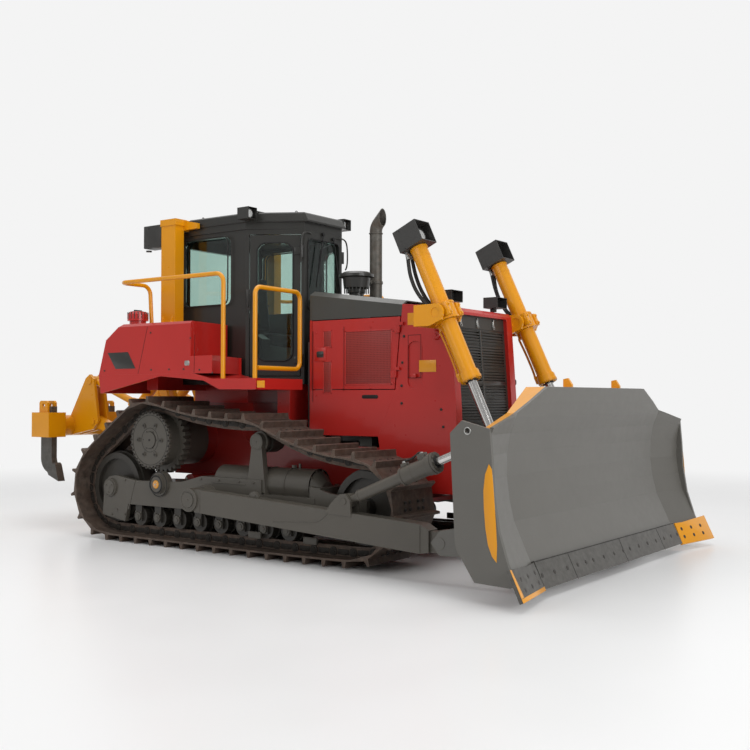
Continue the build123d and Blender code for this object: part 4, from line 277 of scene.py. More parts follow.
# %% Chrome
def hard_chrome():
    """Metal at its own colour; the stretched noise draws grinding lines 3 mm apart."""
    material, tree, surface, place = blank_finish("hard_chrome", Metallic=1.0)
    lengthwise = node(tree, "ShaderNodeMapping", {"Vector": place, "Scale": (1, 1, 12)}).outputs["Vector"]
    lines = node(tree, "ShaderNodeTexNoise", {"Vector": lengthwise, "Scale": 33.0, "Detail": 3.0}).outputs["Fac"]
    tree.links.new(node(tree, "ShaderNodeMix", {0: lines, 6: linear("b4b2b0"), 7: linear("dedcd9")},
                        data_type="RGBA").outputs[2], surface.inputs["Base Color"])
    tree.links.new(node(tree, "ShaderNodeMapRange", {"Value": lines, 3: 0.1, 4: 0.22}).outputs["Result"],
                   surface.inputs["Roughness"])
    return material


def moulded(name, hex_colour, gloss, ripple, grain):
    """Rubber or plastic from its colour, gloss, and the depth and size of its surface in mm."""
    material, tree, surface, place = blank_finish(name, Specular_IOR_Level=0.45)
    drift = node(tree, "ShaderNodeTexNoise", {"Vector": place, "Scale": 25.0, "Detail": 4.0}).outputs["Fac"]
    tree.links.new(node(tree, "ShaderNodeMix", {0: drift, 6: linear(hex_colour, 0.85), 7: linear(hex_colour, 1.2)},
                        data_type="RGBA").outputs[2], surface.inputs["Base Color"])
    cloud = node(tree, "ShaderNodeTexNoise", {"Vector": place, "Scale": 90.0, "Detail": 3.0}).outputs["Fac"]
    tree.links.new(node(tree, "ShaderNodeMapRange", {"Value": cloud, 3: gloss[0], 4: gloss[1]}).outputs["Result"],
                   surface.inputs["Roughness"])
    texture = node(tree, "ShaderNodeTexNoise", {"Vector": place, "Scale": 1000 / grain, "Detail": 2.0}).outputs["Fac"]
    tree.links.new(node(tree, "ShaderNodeBump", {"Height": texture, "Distance": ripple / 1000, "Strength": 0.6})
                   .outputs["Normal"], surface.inputs["Normal"])
    return material


def tempered_glass():
    """Clear glass, faintly green; a slow noise keeps its reflections from looking ruled."""
    material, tree, surface, place = blank_finish("tempered_glass", Transmission_Weight=1.0, IOR=1.45)
    drift = node(tree, "ShaderNodeTexNoise", {"Vector": place, "Scale": 3.0, "Detail": 2.0}).outputs["Fac"]
    tree.links.new(node(tree, "ShaderNodeMix", {0: drift, 6: linear("c3dad3"), 7: linear("d5e6e0")},
                        data_type="RGBA").outputs[2], surface.inputs["Base Color"])
    tree.links.new(node(tree, "ShaderNodeMapRange", {"Value": drift, 3: 0.0, 4: 0.03}).outputs["Result"],
                   surface.inputs["Roughness"])
    return material


def lamp_lens():
    """Polycarbonate over a bright reflector: flutes 9 mm apart break up the reflection."""
    material, tree, surface, place = blank_finish("fluted_lens", Metallic=0.3, Coat_Weight=1.0, Coat_Roughness=0.03)
    flutes = node(tree, "ShaderNodeTexWave", {"Vector": place, "Scale": 35.0, "Distortion": 1.0},
                  bands_direction="Y").outputs["Fac"]
    tree.links.new(node(tree, "ShaderNodeMix", {0: flutes, 6: linear("b9bbba"), 7: linear("f4f5f3")},
                        data_type="RGBA").outputs[2], surface.inputs["Base Color"])
    tree.links.new(node(tree, "ShaderNodeMapRange", {"Value": flutes, 3: 0.1, 4: 0.25}).outputs["Result"],
                   surface.inputs["Roughness"])
    tree.links.new(node(tree, "ShaderNodeBump", {"Height": flutes, "Distance": 0.001, "Strength": 0.5})
                   .outputs["Normal"], surface.inputs["Normal"])
    return material


def woven_cloth():
    """Polyester seat cloth: two crossed waves weave threads, drawn 6 mm apart so that they show."""
    material, tree, surface, place = blank_finish("seat_cloth", Sheen_Weight=0.3, Sheen_Roughness=0.5)
    warp, weft = (node(tree, "ShaderNodeTexWave", {"Vector": place, "Scale": 52.0, "Distortion": 1.2},
                       bands_direction=axis).outputs["Fac"] for axis in ("Y", "Z"))
    weave = node(tree, "ShaderNodeMath", {0: warp, 1: weft}, operation="MULTIPLY").outputs[0]
    tree.links.new(node(tree, "ShaderNodeMix", {0: weave, 6: linear("17181a"), 7: linear("3a3c41")},
                        data_type="RGBA").outputs[2], surface.inputs["Base Color"])
    cloud = node(tree, "ShaderNodeTexNoise", {"Vector": place, "Scale": 50.0, "Detail": 3.0}).outputs["Fac"]
    tree.links.new(node(tree, "ShaderNodeMapRange", {"Value": cloud, 3: 0.75, 4: 0.92}).outputs["Result"],
                   surface.inputs["Roughness"])
    tree.links.new(node(tree, "ShaderNodeBump", {"Height": weave, "Distance": 0.0006, "Strength": 0.7})
                   .outputs["Normal"], surface.inputs["Normal"])
    return material


def perforated_sheet():
    """Red screen whose round holes, 16 mm apart, are painted dark as the shade behind the sheet: a grid of points
    turned into discs.
    """
    material, tree, surface, place = blank_finish("perforated_red_sheet", Specular_IOR_Level=0.35)
    grid = node(tree, "ShaderNodeTexVoronoi", {"Vector": place, "Scale": 62.0, "Randomness": 0.0},
                feature="F1").outputs["Distance"]
    metal = node(tree, "ShaderNodeMapRange", {"Value": grid, 1: 0.28, 2: 0.34}).outputs["Result"]
    # Painted shade: the holes get dark red 3a0d0b for the shade seen through them, and the metal between them is red.
    tree.links.new(node(tree, "ShaderNodeMix", {0: metal, 6: linear("3a0d0b"), 7: linear("93302a")},
                        data_type="RGBA").outputs[2], surface.inputs["Base Color"])
    tree.links.new(node(tree, "ShaderNodeMapRange", {"Value": metal, 3: 0.7, 4: 0.35}).outputs["Result"],
                   surface.inputs["Roughness"])
    tree.links.new(node(tree, "ShaderNodeBump", {"Height": metal, "Distance": 0.0015, "Strength": 0.5})
                   .outputs["Normal"], surface.inputs["Normal"])
    return material


CHROME = hard_chrome()
HOSE_RUBBER = moulded("hose_rubber", "191918", (0.42, 0.58), 0.3, 2.2)
SEAL_RUBBER = moulded("seal_rubber", "141414", (0.55, 0.7), 0.2, 3.0)
LAMP_PLASTIC = moulded("lamp_plastic", "2f2e2c", (0.34, 0.48), 0.1, 1.8)
GLASS = tempered_glass()
LENS = lamp_lens()
SEAT_CLOTH = woven_cloth()
SCREEN = perforated_sheet()
for hose in hoses:
    hose.data.materials.append(HOSE_RUBBER)

# %% [markdown]
# ## Which finish each solid takes
# A solid from the frame keeps its mesh untouched. Only its material slot is filled. Where one
# solid has two colours, such as an end plate with its yellow strip, a thin piece is laid over it later.

# %% Finishes of the solids
FINISHES = {
    RED_ENAMEL: ["side_panels", "radiator_guard", "decks", "fender_right", "fender_left", "engine_door_right",
                 "engine_door_left", "cab_mount"],
    RED_ENAMEL_SHADED: ["main_frame"],
    YELLOW_ENAMEL: ["lift_barrel_right", "lift_barrel_left", "rops", "handrails", "ripper_bracket", "ripper_link",
                    "ripper_beam", "ripper_stays", "ripper_rams", "lift_brackets"],
    BLADE_BACK_ENAMEL: ["blade_frame"],
    BLACK_ENAMEL: ["cab_frame", "cab_roof", "cab_door_right", "cab_door_left", "seat_base", "pre_cleaner",
                   "radiator_core"],
    HOOD_ENAMEL: ["hood", "engine_block"],
    FRAME_ENAMEL: ["track_frame_right", "track_frame_left", "push_arm_right", "push_arm_left", "tilt_barrel_right",
                   "tilt_barrel_left", "final_drive_right", "final_drive_left"],
    DARK_ENAMEL: ["track_wheels_right", "track_wheels_left", "grille"],
    BLADE_ENAMEL: ["moldboard", "end_plates"],
    SHOE_STEEL: ["track_right", "track_left"],
    WEAR_STEEL: ["cutting_edge", "end_bits", "ripper_shanks"],
    STACK_STEEL: ["exhaust_stack"],
    CHROME: ["lift_rod_right", "lift_rod_left", "tilt_rod_right", "tilt_rod_left", "ripper_rods"],
    GLASS: ["cab_glass", "door_glass_right", "door_glass_left"],
    SEAT_CLOTH: ["seat_pads"],
    LAMP_PLASTIC: ["lift_lamp_right", "lift_lamp_left", "work_lamps"],
}
for material, names in FINISHES.items():
    for name in names:
        mesh = NODES[name].data
        mesh.materials.clear()
        mesh.materials.append(material)
print(sum(len(names) for names in FINISHES.values()), "of", len(NODES), "solids have a finish")

# %% [markdown]
# ## Studio
# The machine stands on a pale floor that curves up into a pale wall, under three large soft
# lamps and an even sky. The lamps are kept at a level at which a colour renders about as it is written.


# %% Floor
def studio_floor():
    """A strip across the view, extruded back and then bent up into a wall."""
    material, tree, surface, place = blank_finish("studio_floor", Specular_IOR_Level=0.35)
    drift = node(tree, "ShaderNodeTexNoise", {"Vector": place, "Scale": 0.4, "Detail": 2.0}).outputs["Fac"]
    tree.links.new(node(tree, "ShaderNodeMix", {0: drift, 6: linear("ececec"), 7: linear("f1f1f1")},
                        data_type="RGBA").outputs[2], surface.inputs["Base Color"])
    scuffs = node(tree, "ShaderNodeTexNoise", {"Vector": place, "Scale": 1.6, "Detail": 5.0}).outputs["Fac"]
    tree.links.new(node(tree, "ShaderNodeMapRange", {"Value": scuffs, 3: 0.24, 4: 0.4}).outputs["Result"],
                   surface.inputs["Roughness"])
    away = node(tree, "ShaderNodeVectorMath", {0: place}, operation="LENGTH").outputs["Value"]
    far_off = node(tree, "ShaderNodeMapRange", {"Value": away, 1: 5.5, 2: 13.0}, interpolation_type="SMOOTHSTEP")
    ray = node(tree, "ShaderNodeLightPath").outputs
    seen = node(tree, "ShaderNodeMath", {0: ray["Is Camera Ray"], 1: ray["Is Glossy Ray"]}, operation="MAXIMUM")
    seen = node(tree, "ShaderNodeMath", {0: seen.outputs[0], 1: ray["Is Transmission Ray"]}, operation="MAXIMUM")
    share = node(tree, "ShaderNodeMath", {0: seen.outputs[0], 1: far_off.outputs["Result"]}, operation="MULTIPLY")
    glow = node(tree, "ShaderNodeEmission", {"Color": linear("f4f4f4"), "Strength": 1.0}).outputs["Emission"]
    mixed = node(tree, "ShaderNodeMixShader", {0: share.outputs[0], 1: surface.outputs["BSDF"], 2: glow})
    tree.links.new(mixed.outputs["Shader"], tree.nodes["Material Output"].inputs["Surface"])
    bm = bmesh.new()
    bmesh.ops.create_grid(bm, x_segments=1, y_segments=1, size=1, matrix=Matrix.Diagonal((40, 22, 1, 1)))
    bmesh.ops.translate(bm, verts=bm.verts, vec=(0, -8, 0))
    far = [e for e in bm.edges if all(v.co.y > 13 for v in e.verts)]
    turned = bmesh.ops.spin(bm, geom=far, cent=(0, 14, 3), axis=(1, 0, 0), angle=radians(90), steps=8)
    top = [e for e in turned["geom_last"] if isinstance(e, bmesh.types.BMEdge)]
    wall = bmesh.ops.extrude_edge_only(bm, edges=top)["geom"]
    bmesh.ops.translate(bm, verts=[v for v in wall if isinstance(v, bmesh.types.BMVert)], vec=(0, 0, 24))
    bmesh.ops.rotate(bm, verts=bm.verts, cent=(0, 0, 0), matrix=Matrix.Rotation(AZIMUTH, 3, "Z"))
    bmesh.ops.recalc_face_normals(bm, faces=bm.faces)
    mesh = bpy.data.meshes.new("studio_floor")
    bm.to_mesh(mesh)
    bm.free()
    mesh.shade_smooth()
    mesh.materials.append(material)
    floor = bpy.data.objects.new("studio_floor", mesh)
    scene.collection.objects.link(floor)


studio_floor()

# %% [markdown]
# ### Studio lamps
# Large lamps give the soft, wide shadow of a studio. The top one lights the decks, the front one the
# blade's face, and a weak side one opens the shadow under the fenders. Area lamps are chosen because
# their size in metres sets how soft the shadow is.


# %% Lamps
def soft_lamp(name, place, target, size, power):
    """Rectangular area lamp aimed at a point."""
    data = bpy.data.lights.new(name, "AREA")
    data.shape = "RECTANGLE"
    data.size, data.size_y = size
    data.energy = power
    lamp = bpy.data.objects.new(name, data)
    scene.collection.objects.link(lamp)
    lamp.location = place
    lamp.rotation_euler = (Vector(target) - Vector(place)).to_track_quat("-Z", "Y").to_euler()


soft_lamp("top_lamp", (0, 0, 11), (0, 0, 0), (14, 12), 820)
soft_lamp("front_lamp", (16.0, -5.0, 6.0), (0, 0, 1.0), (9, 7), 1150)
soft_lamp("side_lamp", (-2, -11, 7), (0, 0, 1.2), (9, 6), 240)
world = bpy.data.worlds.new("studio")
scene.world = world
world.use_nodes = True
world.node_tree.nodes["Background"].inputs["Color"].default_value = (1, 1, 1, 1)
world.node_tree.nodes["Background"].inputs["Strength"].default_value = 0.42
scene.view_settings.view_transform = "Standard"

# %% [markdown]
# ## Tools for small pieces
# Each piece is modelled in millimetres where it really sits, so its object can stay at the
# origin, as the solids do. A frame says where a surface is and which way it faces. Blocks, drums,
# plates and bolts are then bmesh primitives placed on that frame, bevelled where light would
# catch a rounded edge.

# %% Placing and keeping pieces
ALONG_X, ALONG_Y, UPRIGHT = Vector((1, 0, 0)), Vector((0, 1, 0)), Vector((0, 0, 1))


def facing(place, normal, upward=UPRIGHT):
    """Frame at a place whose Z axis points out of a surface and whose Y axis leans upward."""
    z = Vector(normal).normalized()
    x = Vector(upward).cross(z)
    x = x.normalized() if x.length > 1e-3 else Vector((0, 1, 0))
    turned = Matrix((x, z.cross(x), z)).transposed().to_4x4()
    turned.translation = Vector(place)
    return turned


def block(bm, size, where, bevel=0.0):
    """Block of (across, up, deep) that stands out of the frame it is put on."""
    middle = Matrix.Translation((0, 0, size[2] / 2)) @ Matrix.Diagonal((*size, 1))
    made = bmesh.ops.create_cube(bm, size=1, matrix=where @ middle)["verts"]
    if bevel:
        edges = list({edge for vert in made for edge in vert.link_edges})
        bmesh.ops.bevel(bm, geom=edges, offset=bevel, segments=2, profile=0.5, affect="EDGES", material=-1)


def drum(bm, radius, depth, where, sides=28, top=None):
    """Round or many-sided body that stands out of the frame it is put on."""
    bmesh.ops.create_cone(bm, cap_ends=True, segments=sides, radius1=radius, radius2=radius if top is None else top,
                          depth=depth, matrix=where @ Matrix.Translation((0, 0, depth / 2)))


def ring(bm, radius, wire, where, sides=32, wire_sides=8):
    """Round wire bent into a ring that lies on the frame: a circle spun about the frame's axis."""
    start = where @ Matrix.Translation((radius, 0, 0)) @ Matrix.Rotation(pi / 2, 4, "X")
    section = bmesh.ops.create_circle(bm, segments=wire_sides, radius=wire, matrix=start)["verts"]
    edges = list({edge for vert in section for edge in vert.link_edges})
    bmesh.ops.spin(bm, geom=edges, cent=where.translation, axis=where.to_3x3().col[2], angle=2 * pi,
                   steps=sides, use_merge=True)


def sleeve(bm, outer, inner, width, where, sides=40):
    """Collar with a round bore: a rectangle spun about the frame's axis, so that a rod can pass."""
    side_on = where @ Matrix.Translation(((outer + inner) / 2, 0, width / 2)) @ Matrix.Rotation(pi / 2, 4, "X")
    section = bmesh.ops.create_grid(bm, x_segments=1, y_segments=1, size=0.5,
                                    matrix=side_on @ Matrix.Diagonal((outer - inner, width, 1, 1)))["verts"]
    edges = list({edge for vert in section for edge in vert.link_edges})
    bmesh.ops.delete(bm, geom=list({face for vert in section for face in vert.link_faces}), context="FACES_ONLY")
    bmesh.ops.spin(bm, geom=edges, cent=where.translation, axis=where.to_3x3().col[2], angle=2 * pi,
                   steps=sides, use_merge=True)


def plate(bm, outline, thickness, where, bevel=0.0):
    """Flat plate from its outline on the frame, as thick as it stands out."""
    face = bm.faces.new([bm.verts.new(where @ Vector((x, y, 0))) for x, y in outline])
    raised = bmesh.ops.extrude_face_region(bm, geom=[face])["geom"]
    top = [item for item in raised if isinstance(item, bmesh.types.BMVert)]
    bmesh.ops.translate(bm, verts=top, vec=where.to_3x3() @ Vector((0, 0, thickness)))
    if bevel:
        rim = [edge for edge in {e for vert in top for e in vert.link_edges} if all(v in top for v in edge.verts)]
        bmesh.ops.bevel(bm, geom=rim, offset=bevel, segments=2, profile=0.5, affect="EDGES", material=-1)


def bolt(bm, size, where):
    """Hexagon bolt on a washer; its head is twice as wide as its thread."""
    drum(bm, size * 1.15, size * 0.18, where, 16)
    drum(bm, size, size * 0.65, where @ Matrix.Translation((0, 0, size * 0.18)), 6, size * 0.92)


def round_of_bolts(bm, count, circle, size, where, turn=0.0):
    """Bolts evenly round a circle on the frame."""
    for number in range(count):
        spot = Matrix.Rotation(turn + 2 * pi * number / count, 4, "Z") @ Matrix.Translation((circle, 0, 0))
        bolt(bm, size, where @ spot)


def upright_wall(y, side=-1):
    """Frame on a wall whose plane is drawn in (x, z) of the machine, facing out to one side."""
    return Matrix(((1, 0, 0, 0), (0, 0, side, y), (0, 1, 0, 0), (0, 0, 0, 1)))


def box_outline(left, low, right, high):
    """Corners of an upright rectangle, in order."""
    return [(left, low), (right, low), (right, high), (left, high)]


def border(left, low, right, high, width):
    """Four strips that frame a rectangle: foot, head and two sides."""
    return (box_outline(left, low, right, low + width), box_outline(left, high - width, right, high),
            box_outline(left, low, left + width, high), box_outline(right - width, low, right, high))


def rounded(width, height, corner, steps=5):
    """Outline of a rectangle with round corners, about its own middle."""
    points = []
    for x, y, start in ((1, 1, 0), (-1, 1, 90), (-1, -1, 180), (1, -1, 270)):
        for step in range(steps + 1):
            angle = radians(start + 90 * step / steps)
            points.append((x * (width / 2 - corner) + corner * cos(angle),
                           y * (height / 2 - corner) + corner * sin(angle)))
    return points


def show(item, finish, body):
    """Links an object, gives it its finish and hangs it on its body."""
    scene.collection.objects.link(item)
    item.data.materials.append(finish)
    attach(item, body)


def keep(bm, name, finish, body, mirrored=False):
    """Turns millimetres into a finished piece in metres, on both sides of the machine if mirrored."""
    if mirrored:
        bmesh.ops.mirror(bm, geom=bm.verts[:] + bm.edges[:] + bm.faces[:], matrix=Matrix(), merge_dist=0.0, axis="Y")
    bmesh.ops.recalc_face_normals(bm, faces=bm.faces)
    bmesh.ops.scale(bm, vec=(0.001, 0.001, 0.001), verts=bm.verts)
    mesh = bpy.data.meshes.new(name)
    bm.to_mesh(mesh)
    bm.free()
    mesh.shade_smooth()
    mesh.set_sharp_from_angle(angle=radians(32))
    piece = bpy.data.objects.new(name, mesh)
    show(piece, finish, body)
    print(f"{name}: {len(mesh.polygons)} faces on {body}")
    return piece


def pipe(name, points, radius, finish, body, closed=False):
    """Steel pipe, seal or wire through points in millimetres, as a smooth curve with a round section."""
    curve = bpy.data.curves.new(name, "CURVE")
    curve.dimensions = "3D"
    curve.bevel_depth = 1.0
    curve.bevel_resolution = 3
    curve.use_fill_caps = True
    spline = curve.splines.new("NURBS")
    spline.points.add(len(points) - 1)
    for point, place in zip(spline.points, points):
        point.co = (*(Vector(place) / 1000), 1)
        point.radius = radius / 1000
    spline.order_u = 3
    spline.use_cyclic_u = closed
    spline.use_endpoint_u = not closed
    spline.resolution_u = 6
    show(bpy.data.objects.new(name, curve), finish, body)


# %% [markdown]
# ## Track chains
# Each shoe is bolted to a pair of links, and the links turn on pins. The solid has smooth rails,
# so the links' round bosses and waists are added along them. The pins' line is worked out again
# from the wheels' circles: straight runs that touch two circles, with the slack of the top run.

# %% Line of the pins
TRACK_Y, RAIL_FACE, SHOE_COUNT = 990.0, 118.0, 42
WHEEL_CIRCLES = [(-1718, 520, 415), (621, 251, 146), (1433, 501, 385), (260, 1030, 154), (-1140, 1012, 346)]
SLACK = [0, 0, 80, 55, 0]


def pin_line():
    """Places of the track's pins seen from the side, as (x, z)."""
    touching = []
    for (ax, az, ar), (bx, bz, br) in zip(WHEEL_CIRCLES, WHEEL_CIRCLES[1:] + WHEEL_CIRCLES[:1]):
        span = hypot(bx - ax, bz - az)
        touching.append(atan2(bz - az, bx - ax) - pi / 2 + atan2(ar - br, sqrt(span ** 2 - (ar - br) ** 2)))
    dense = []
    for index, (x, z, radius) in enumerate(WHEEL_CIRCLES):
        turn = (touching[index] - touching[index - 1]) % (2 * pi)
        turn -= 2 * pi if turn > 1.9 * pi else 0
        for step in range(61):
            angle = touching[index - 1] + turn * step / 60
            dense.append(Vector((x + radius * cos(angle), z + radius * sin(angle))))
        nx, nz, next_radius = WHEEL_CIRCLES[(index + 1) % 5]
        outward = Vector((cos(touching[index]), sin(touching[index])))
        begin, end = dense[-1], Vector((nx, nz)) + next_radius * outward
        for share in (step / 80 for step in range(1, 80)):
            dense.append(begin.lerp(end, share) - outward * 4 * SLACK[index] * share * (1 - share))
    lengths = [(b - a).length for a, b in zip(dense, dense[1:] + dense[:1])]
    pitch, spaced, wanted, travelled = sum(lengths) / SHOE_COUNT, [], 0.0, 0.0
    for index, length in enumerate(lengths):
        while len(spaced) < SHOE_COUNT and wanted < travelled + length:
            spaced.append(dense[index].lerp(dense[(index + 1) % len(dense)], (wanted - travelled) / length))
            wanted += pitch
        travelled += length
    return spaced, pitch


PINS, LINK_PITCH = pin_line()
print("link pitch", round(LINK_PITCH, 1), "mm")

# %% [markdown]
# ### Links and bolts
# The links show their round bosses where a pin passes and a flatter waist between. Each is two drums
# and two blocks on a frame that faces out of the rail. Four bolts hold a shoe, so the same bolt is
# set at each of their places along the line of pins.

# %% Links and shoe bolts
links = bmesh.new()
shoe_bolts = bmesh.new()
for index, pin in enumerate(PINS):
    following = PINS[(index + 1) % SHOE_COUNT]
    ahead = (following - pin).normalized()
    out = Vector((ahead.y, 0, -ahead.x))
    for rail_side in (-1, 1):
        face = rail_side * RAIL_FACE - TRACK_Y
        boss = facing((pin.x, face, pin.y), (0, rail_side, 0), out)
        drum(links, 40, 7, boss, 18)
        drum(links, 23, 12, boss, 12, 20)
        middle = pin.lerp(following, 0.5)
        waist = facing((middle.x, face, middle.y), (0, rail_side, 0), out)
        block(links, (LINK_PITCH - 96, 46, 4), waist, 1.2)
        block(links, (54, 15, 9), waist @ Matrix.Translation((0, 16, 0)), 1.5)
    for share in (0.42, 0.7):
        along = pin.lerp(following, share)
        for across in (-132, -60, 60, 132):
            bolt(shoe_bolts, 14, facing((along.x + out.x * 50, across - TRACK_Y, along.y + out.z * 50), out, ALONG_Y))
keep(links, "track_links", LINK_STEEL, "chassis", True)
keep(shoe_bolts, "shoe_bolts", BOLT_STEEL, "chassis", True)

# %% [markdown]
# ## Wheels and track frames
# A crawler's frame is read by its round ends: bolted roller shafts, the idler's hub, the pivot
# shaft's cap with its yellow face, and the rim of bolts round each final drive. They are drums
# and bolts on frames that face straight out to the side.


# %% Hubs
def outward(x, y, z):
    """Frame on the machine's right-hand side that faces out."""
    return facing((x, -y, z), (0, -1, 0))


hubs = bmesh.new()
for number in range(8):
    spot = outward(-1325 + 278 * number, 1165, 251)
    drum(hubs, 42, 14, spot, 24, 39)
    drum(hubs, 22, 20, spot, 6)
    for lean in (-1, 1):
        bolt(hubs, 9, spot @ Matrix.Translation((lean * 33, 42, 0)))
rear_idler = outward(-1718, 1208, 520)
drum(hubs, 74, 8, rear_idler, 40)
drum(hubs, 13, 12, rear_idler, 16)
round_of_bolts(hubs, 3, 48, 9, rear_idler @ Matrix.Translation((0, 0, 8)), 0.5)
ring(hubs, 84, 3.5, rear_idler, 40)
carrier = outward(260, 1114, 1030)
drum(hubs, 96, 16, carrier, 40)
drum(hubs, 80, 66, carrier, 40, 76)
ring(hubs, 62, 3, carrier @ Matrix.Translation((0, 0, 66)), 36)
drum(hubs, 9, 70, carrier, 12)
trunnion = outward(-328, 1454, 492)
drum(hubs, 68, 6, trunnion, 40)
ring(hubs, 88, 3, trunnion, 40)
drum(hubs, 8, 10, trunnion, 12)
keep(hubs, "hubs", FRAME_ENAMEL, "chassis", True)

drive_bolts = bmesh.new()
drive = outward(-1140, 1190, 1012)
round_of_bolts(drive_bolts, 32, 269, 10.5, drive)
for number in range(6):
    spin = Matrix.Rotation(2 * pi * (number + 0.5) / 6 + pi / 2, 4, "Z")
    boss = drive @ spin @ Matrix.Translation((163, 0, 12))
    drum(drive_bolts, 13, 5, boss, 6)
    for lean in (-13, 13):
        drum(drive_bolts, 4, 3, drive @ spin @ Matrix.Translation((134, lean, 0)), 10)
    bolt(drive_bolts, 6, drive @ spin @ Matrix.Translation((92, 0, 0)))
drum(drive_bolts, 12, 13, drive, 6)
keep(drive_bolts, "final_drive_bolts", BOLT_STEEL, "chassis", True)
drive_lines = bmesh.new()
for radius, wire in ((246, 2.5), (118, 2.0), (82, 3.0)):
    ring(drive_lines, radius, wire, drive, 64, 6)
keep(drive_lines, "final_drive_seams", SEAM_SHADOW, "chassis", True)

# %% [markdown]
# ### Pivot shaft cap
# The pivot shaft ends in a black sealing ring round a painted face and a grease plug. Three pieces
# are made because they have three finishes, and a piece has one.

# %% Pivot shaft cap
pivot_seals = bmesh.new()
pivot = outward(-985, 1250, 588)
ring(pivot_seals, 82, 8, pivot, 48, 10)
ring(pivot_seals, 118, 4, outward(-985, 1215, 588), 48, 6)
keep(pivot_seals, "pivot_cap_seals", SEAL_RUBBER, "chassis", True)
pivot_face = bmesh.new()
drum(pivot_face, 40, 6, pivot, 40, 37)
keep(pivot_face, "pivot_cap_face", YELLOW_ENAMEL, "chassis", True)
pivot_plug = bmesh.new()
drum(pivot_plug, 12, 12, pivot, 6)
ring(pivot_plug, 26, 2, pivot @ Matrix.Translation((0, 0, 6)), 32, 6)
keep(pivot_plug, "pivot_cap_plug", ZINC_STEEL, "chassis", True)

# %% [markdown]
# ### Recoil tube
# The tube hides the spring that lets the front wheel give way. Bands and a ring of bolts close it, and
# grease fittings stand on top. All are drums and bolts on frames.

# %% Recoil tube and frame bolts
frame_trim = bmesh.new()
for x, width in ((330, 10), (560, 8), (836, 14)):
    drum(frame_trim, 157, width, facing((x, -995, 645), ALONG_X), 56)
round_of_bolts(frame_trim, 10, 140, 10, facing((850, -995, 645), ALONG_X))
block(frame_trim, (420, 12, 4), outward(-70, 1190, 640), 1)
for x in (-620, -430, -200, 60, 240):
    bolt(frame_trim, 11, outward(x, 1190, 662))
for x, z in ((-1500, 600), (-1500, 260), (-1620, 300), (-1700, 250)):
    bolt(frame_trim, 11, outward(x, 1190, z))
plate(frame_trim, [(-1362, 606), (-1346, 606), (-1442, 314), (-1458, 314)], 3, upright_wall(-1190))
for x in (250, 900):
    block(frame_trim, (150, 62, 26), outward(x, 1165, 190), 5)
drum(frame_trim, 20, 26, facing((-110, -1060, 700), UPRIGHT), 6)
drum(frame_trim, 15, 44, facing((-180, -1060, 690), UPRIGHT), 14)
drum(frame_trim, 26, 26, facing((560, -995, 796), UPRIGHT), 6)
drum(frame_trim, 12, 46, facing((625, -995, 792), UPRIGHT), 12)
keep(frame_trim, "track_frame_trim", FRAME_ENAMEL, "chassis", True)

# %% [markdown]
# ## Push arms and tilt cylinders
# The arms are welded boxes: a bead runs where the front casting joins, a half-round lifting eye
# stands on top, and the tilt cylinder ends in a bolted gland. The weld beads are thin curves,
# which follow a bent line more easily than a mesh strip.

# %% Push arms
for side, hand in ((-1, "right"), (1, "left")):
    arm = bmesh.new()
    for y in (1375, 1388):
        drum(arm, 58, 12, facing((434, side * y, 548), (0, side, 0)), 32)
    drum(arm, 24, 4, facing((434, side * 1400, 578), (0, side, 0)), 20)
    for y in (1331, 1433):
        drum(arm, 30, 8, facing((1465, side * y, 585), (0, side, 0)), 20)
    keep(arm, f"push_arm_eye_{hand}", FRAME_ENAMEL, "push_frame")
    caps = bmesh.new()
    pin = facing((2395, side * 1417, 322), (0, side, 0))
    drum(caps, 60, 5, pin, 32)
    round_of_bolts(caps, 3, 40, 8, pin @ Matrix.Translation((0, 0, 4)), 0.3)
    keep(caps, f"push_arm_cap_{hand}", FRAME_ENAMEL, "push_frame")
    face = side * 1441
    pipe(f"arm_weld_{hand}", [(700, face, 368), (1000, face, 385), (1180, face, 392), (1262, face, 440),
                              (1330, face, 512)], 3.2, FRAME_ENAMEL, "push_frame")
    pipe(f"arm_end_weld_{hand}", [(2205, face, 450), (2205, face, 400), (2205, face, 300), (2205, face, 230)],
         4.0, FRAME_ENAMEL, "push_frame")
    pipe(f"arm_root_weld_{hand}", [(-190, face, 578), (-190, face, 500), (-190, face, 392)], 4.0, FRAME_ENAMEL,
         "push_frame")

# %% [markdown]
# ### Tilt cylinders
# A cylinder ends in a gland: steps of larger diameter, held by bolts, that the rod slides through.
# Each step is a collar with a real bore, because a solid disc would cut through the moving rod.

# %% Tilt cylinders
TILT_Y = 1382.0
TILT_FOOT, TILT_EYE = Vector((1465, 0, 585)), Vector((2560, 0, 1030))
UP_TILT = (TILT_EYE - TILT_FOOT).normalized()
OVER_TILT = Vector((-UP_TILT.z, 0, UP_TILT.x))


def on_tilt(side, along, over=0.0, across=0.0):
    """Point beside a tilt cylinder, measured from its foot."""
    return TILT_FOOT + UP_TILT * along + OVER_TILT * over + Vector((0, side * (TILT_Y + across), 0))


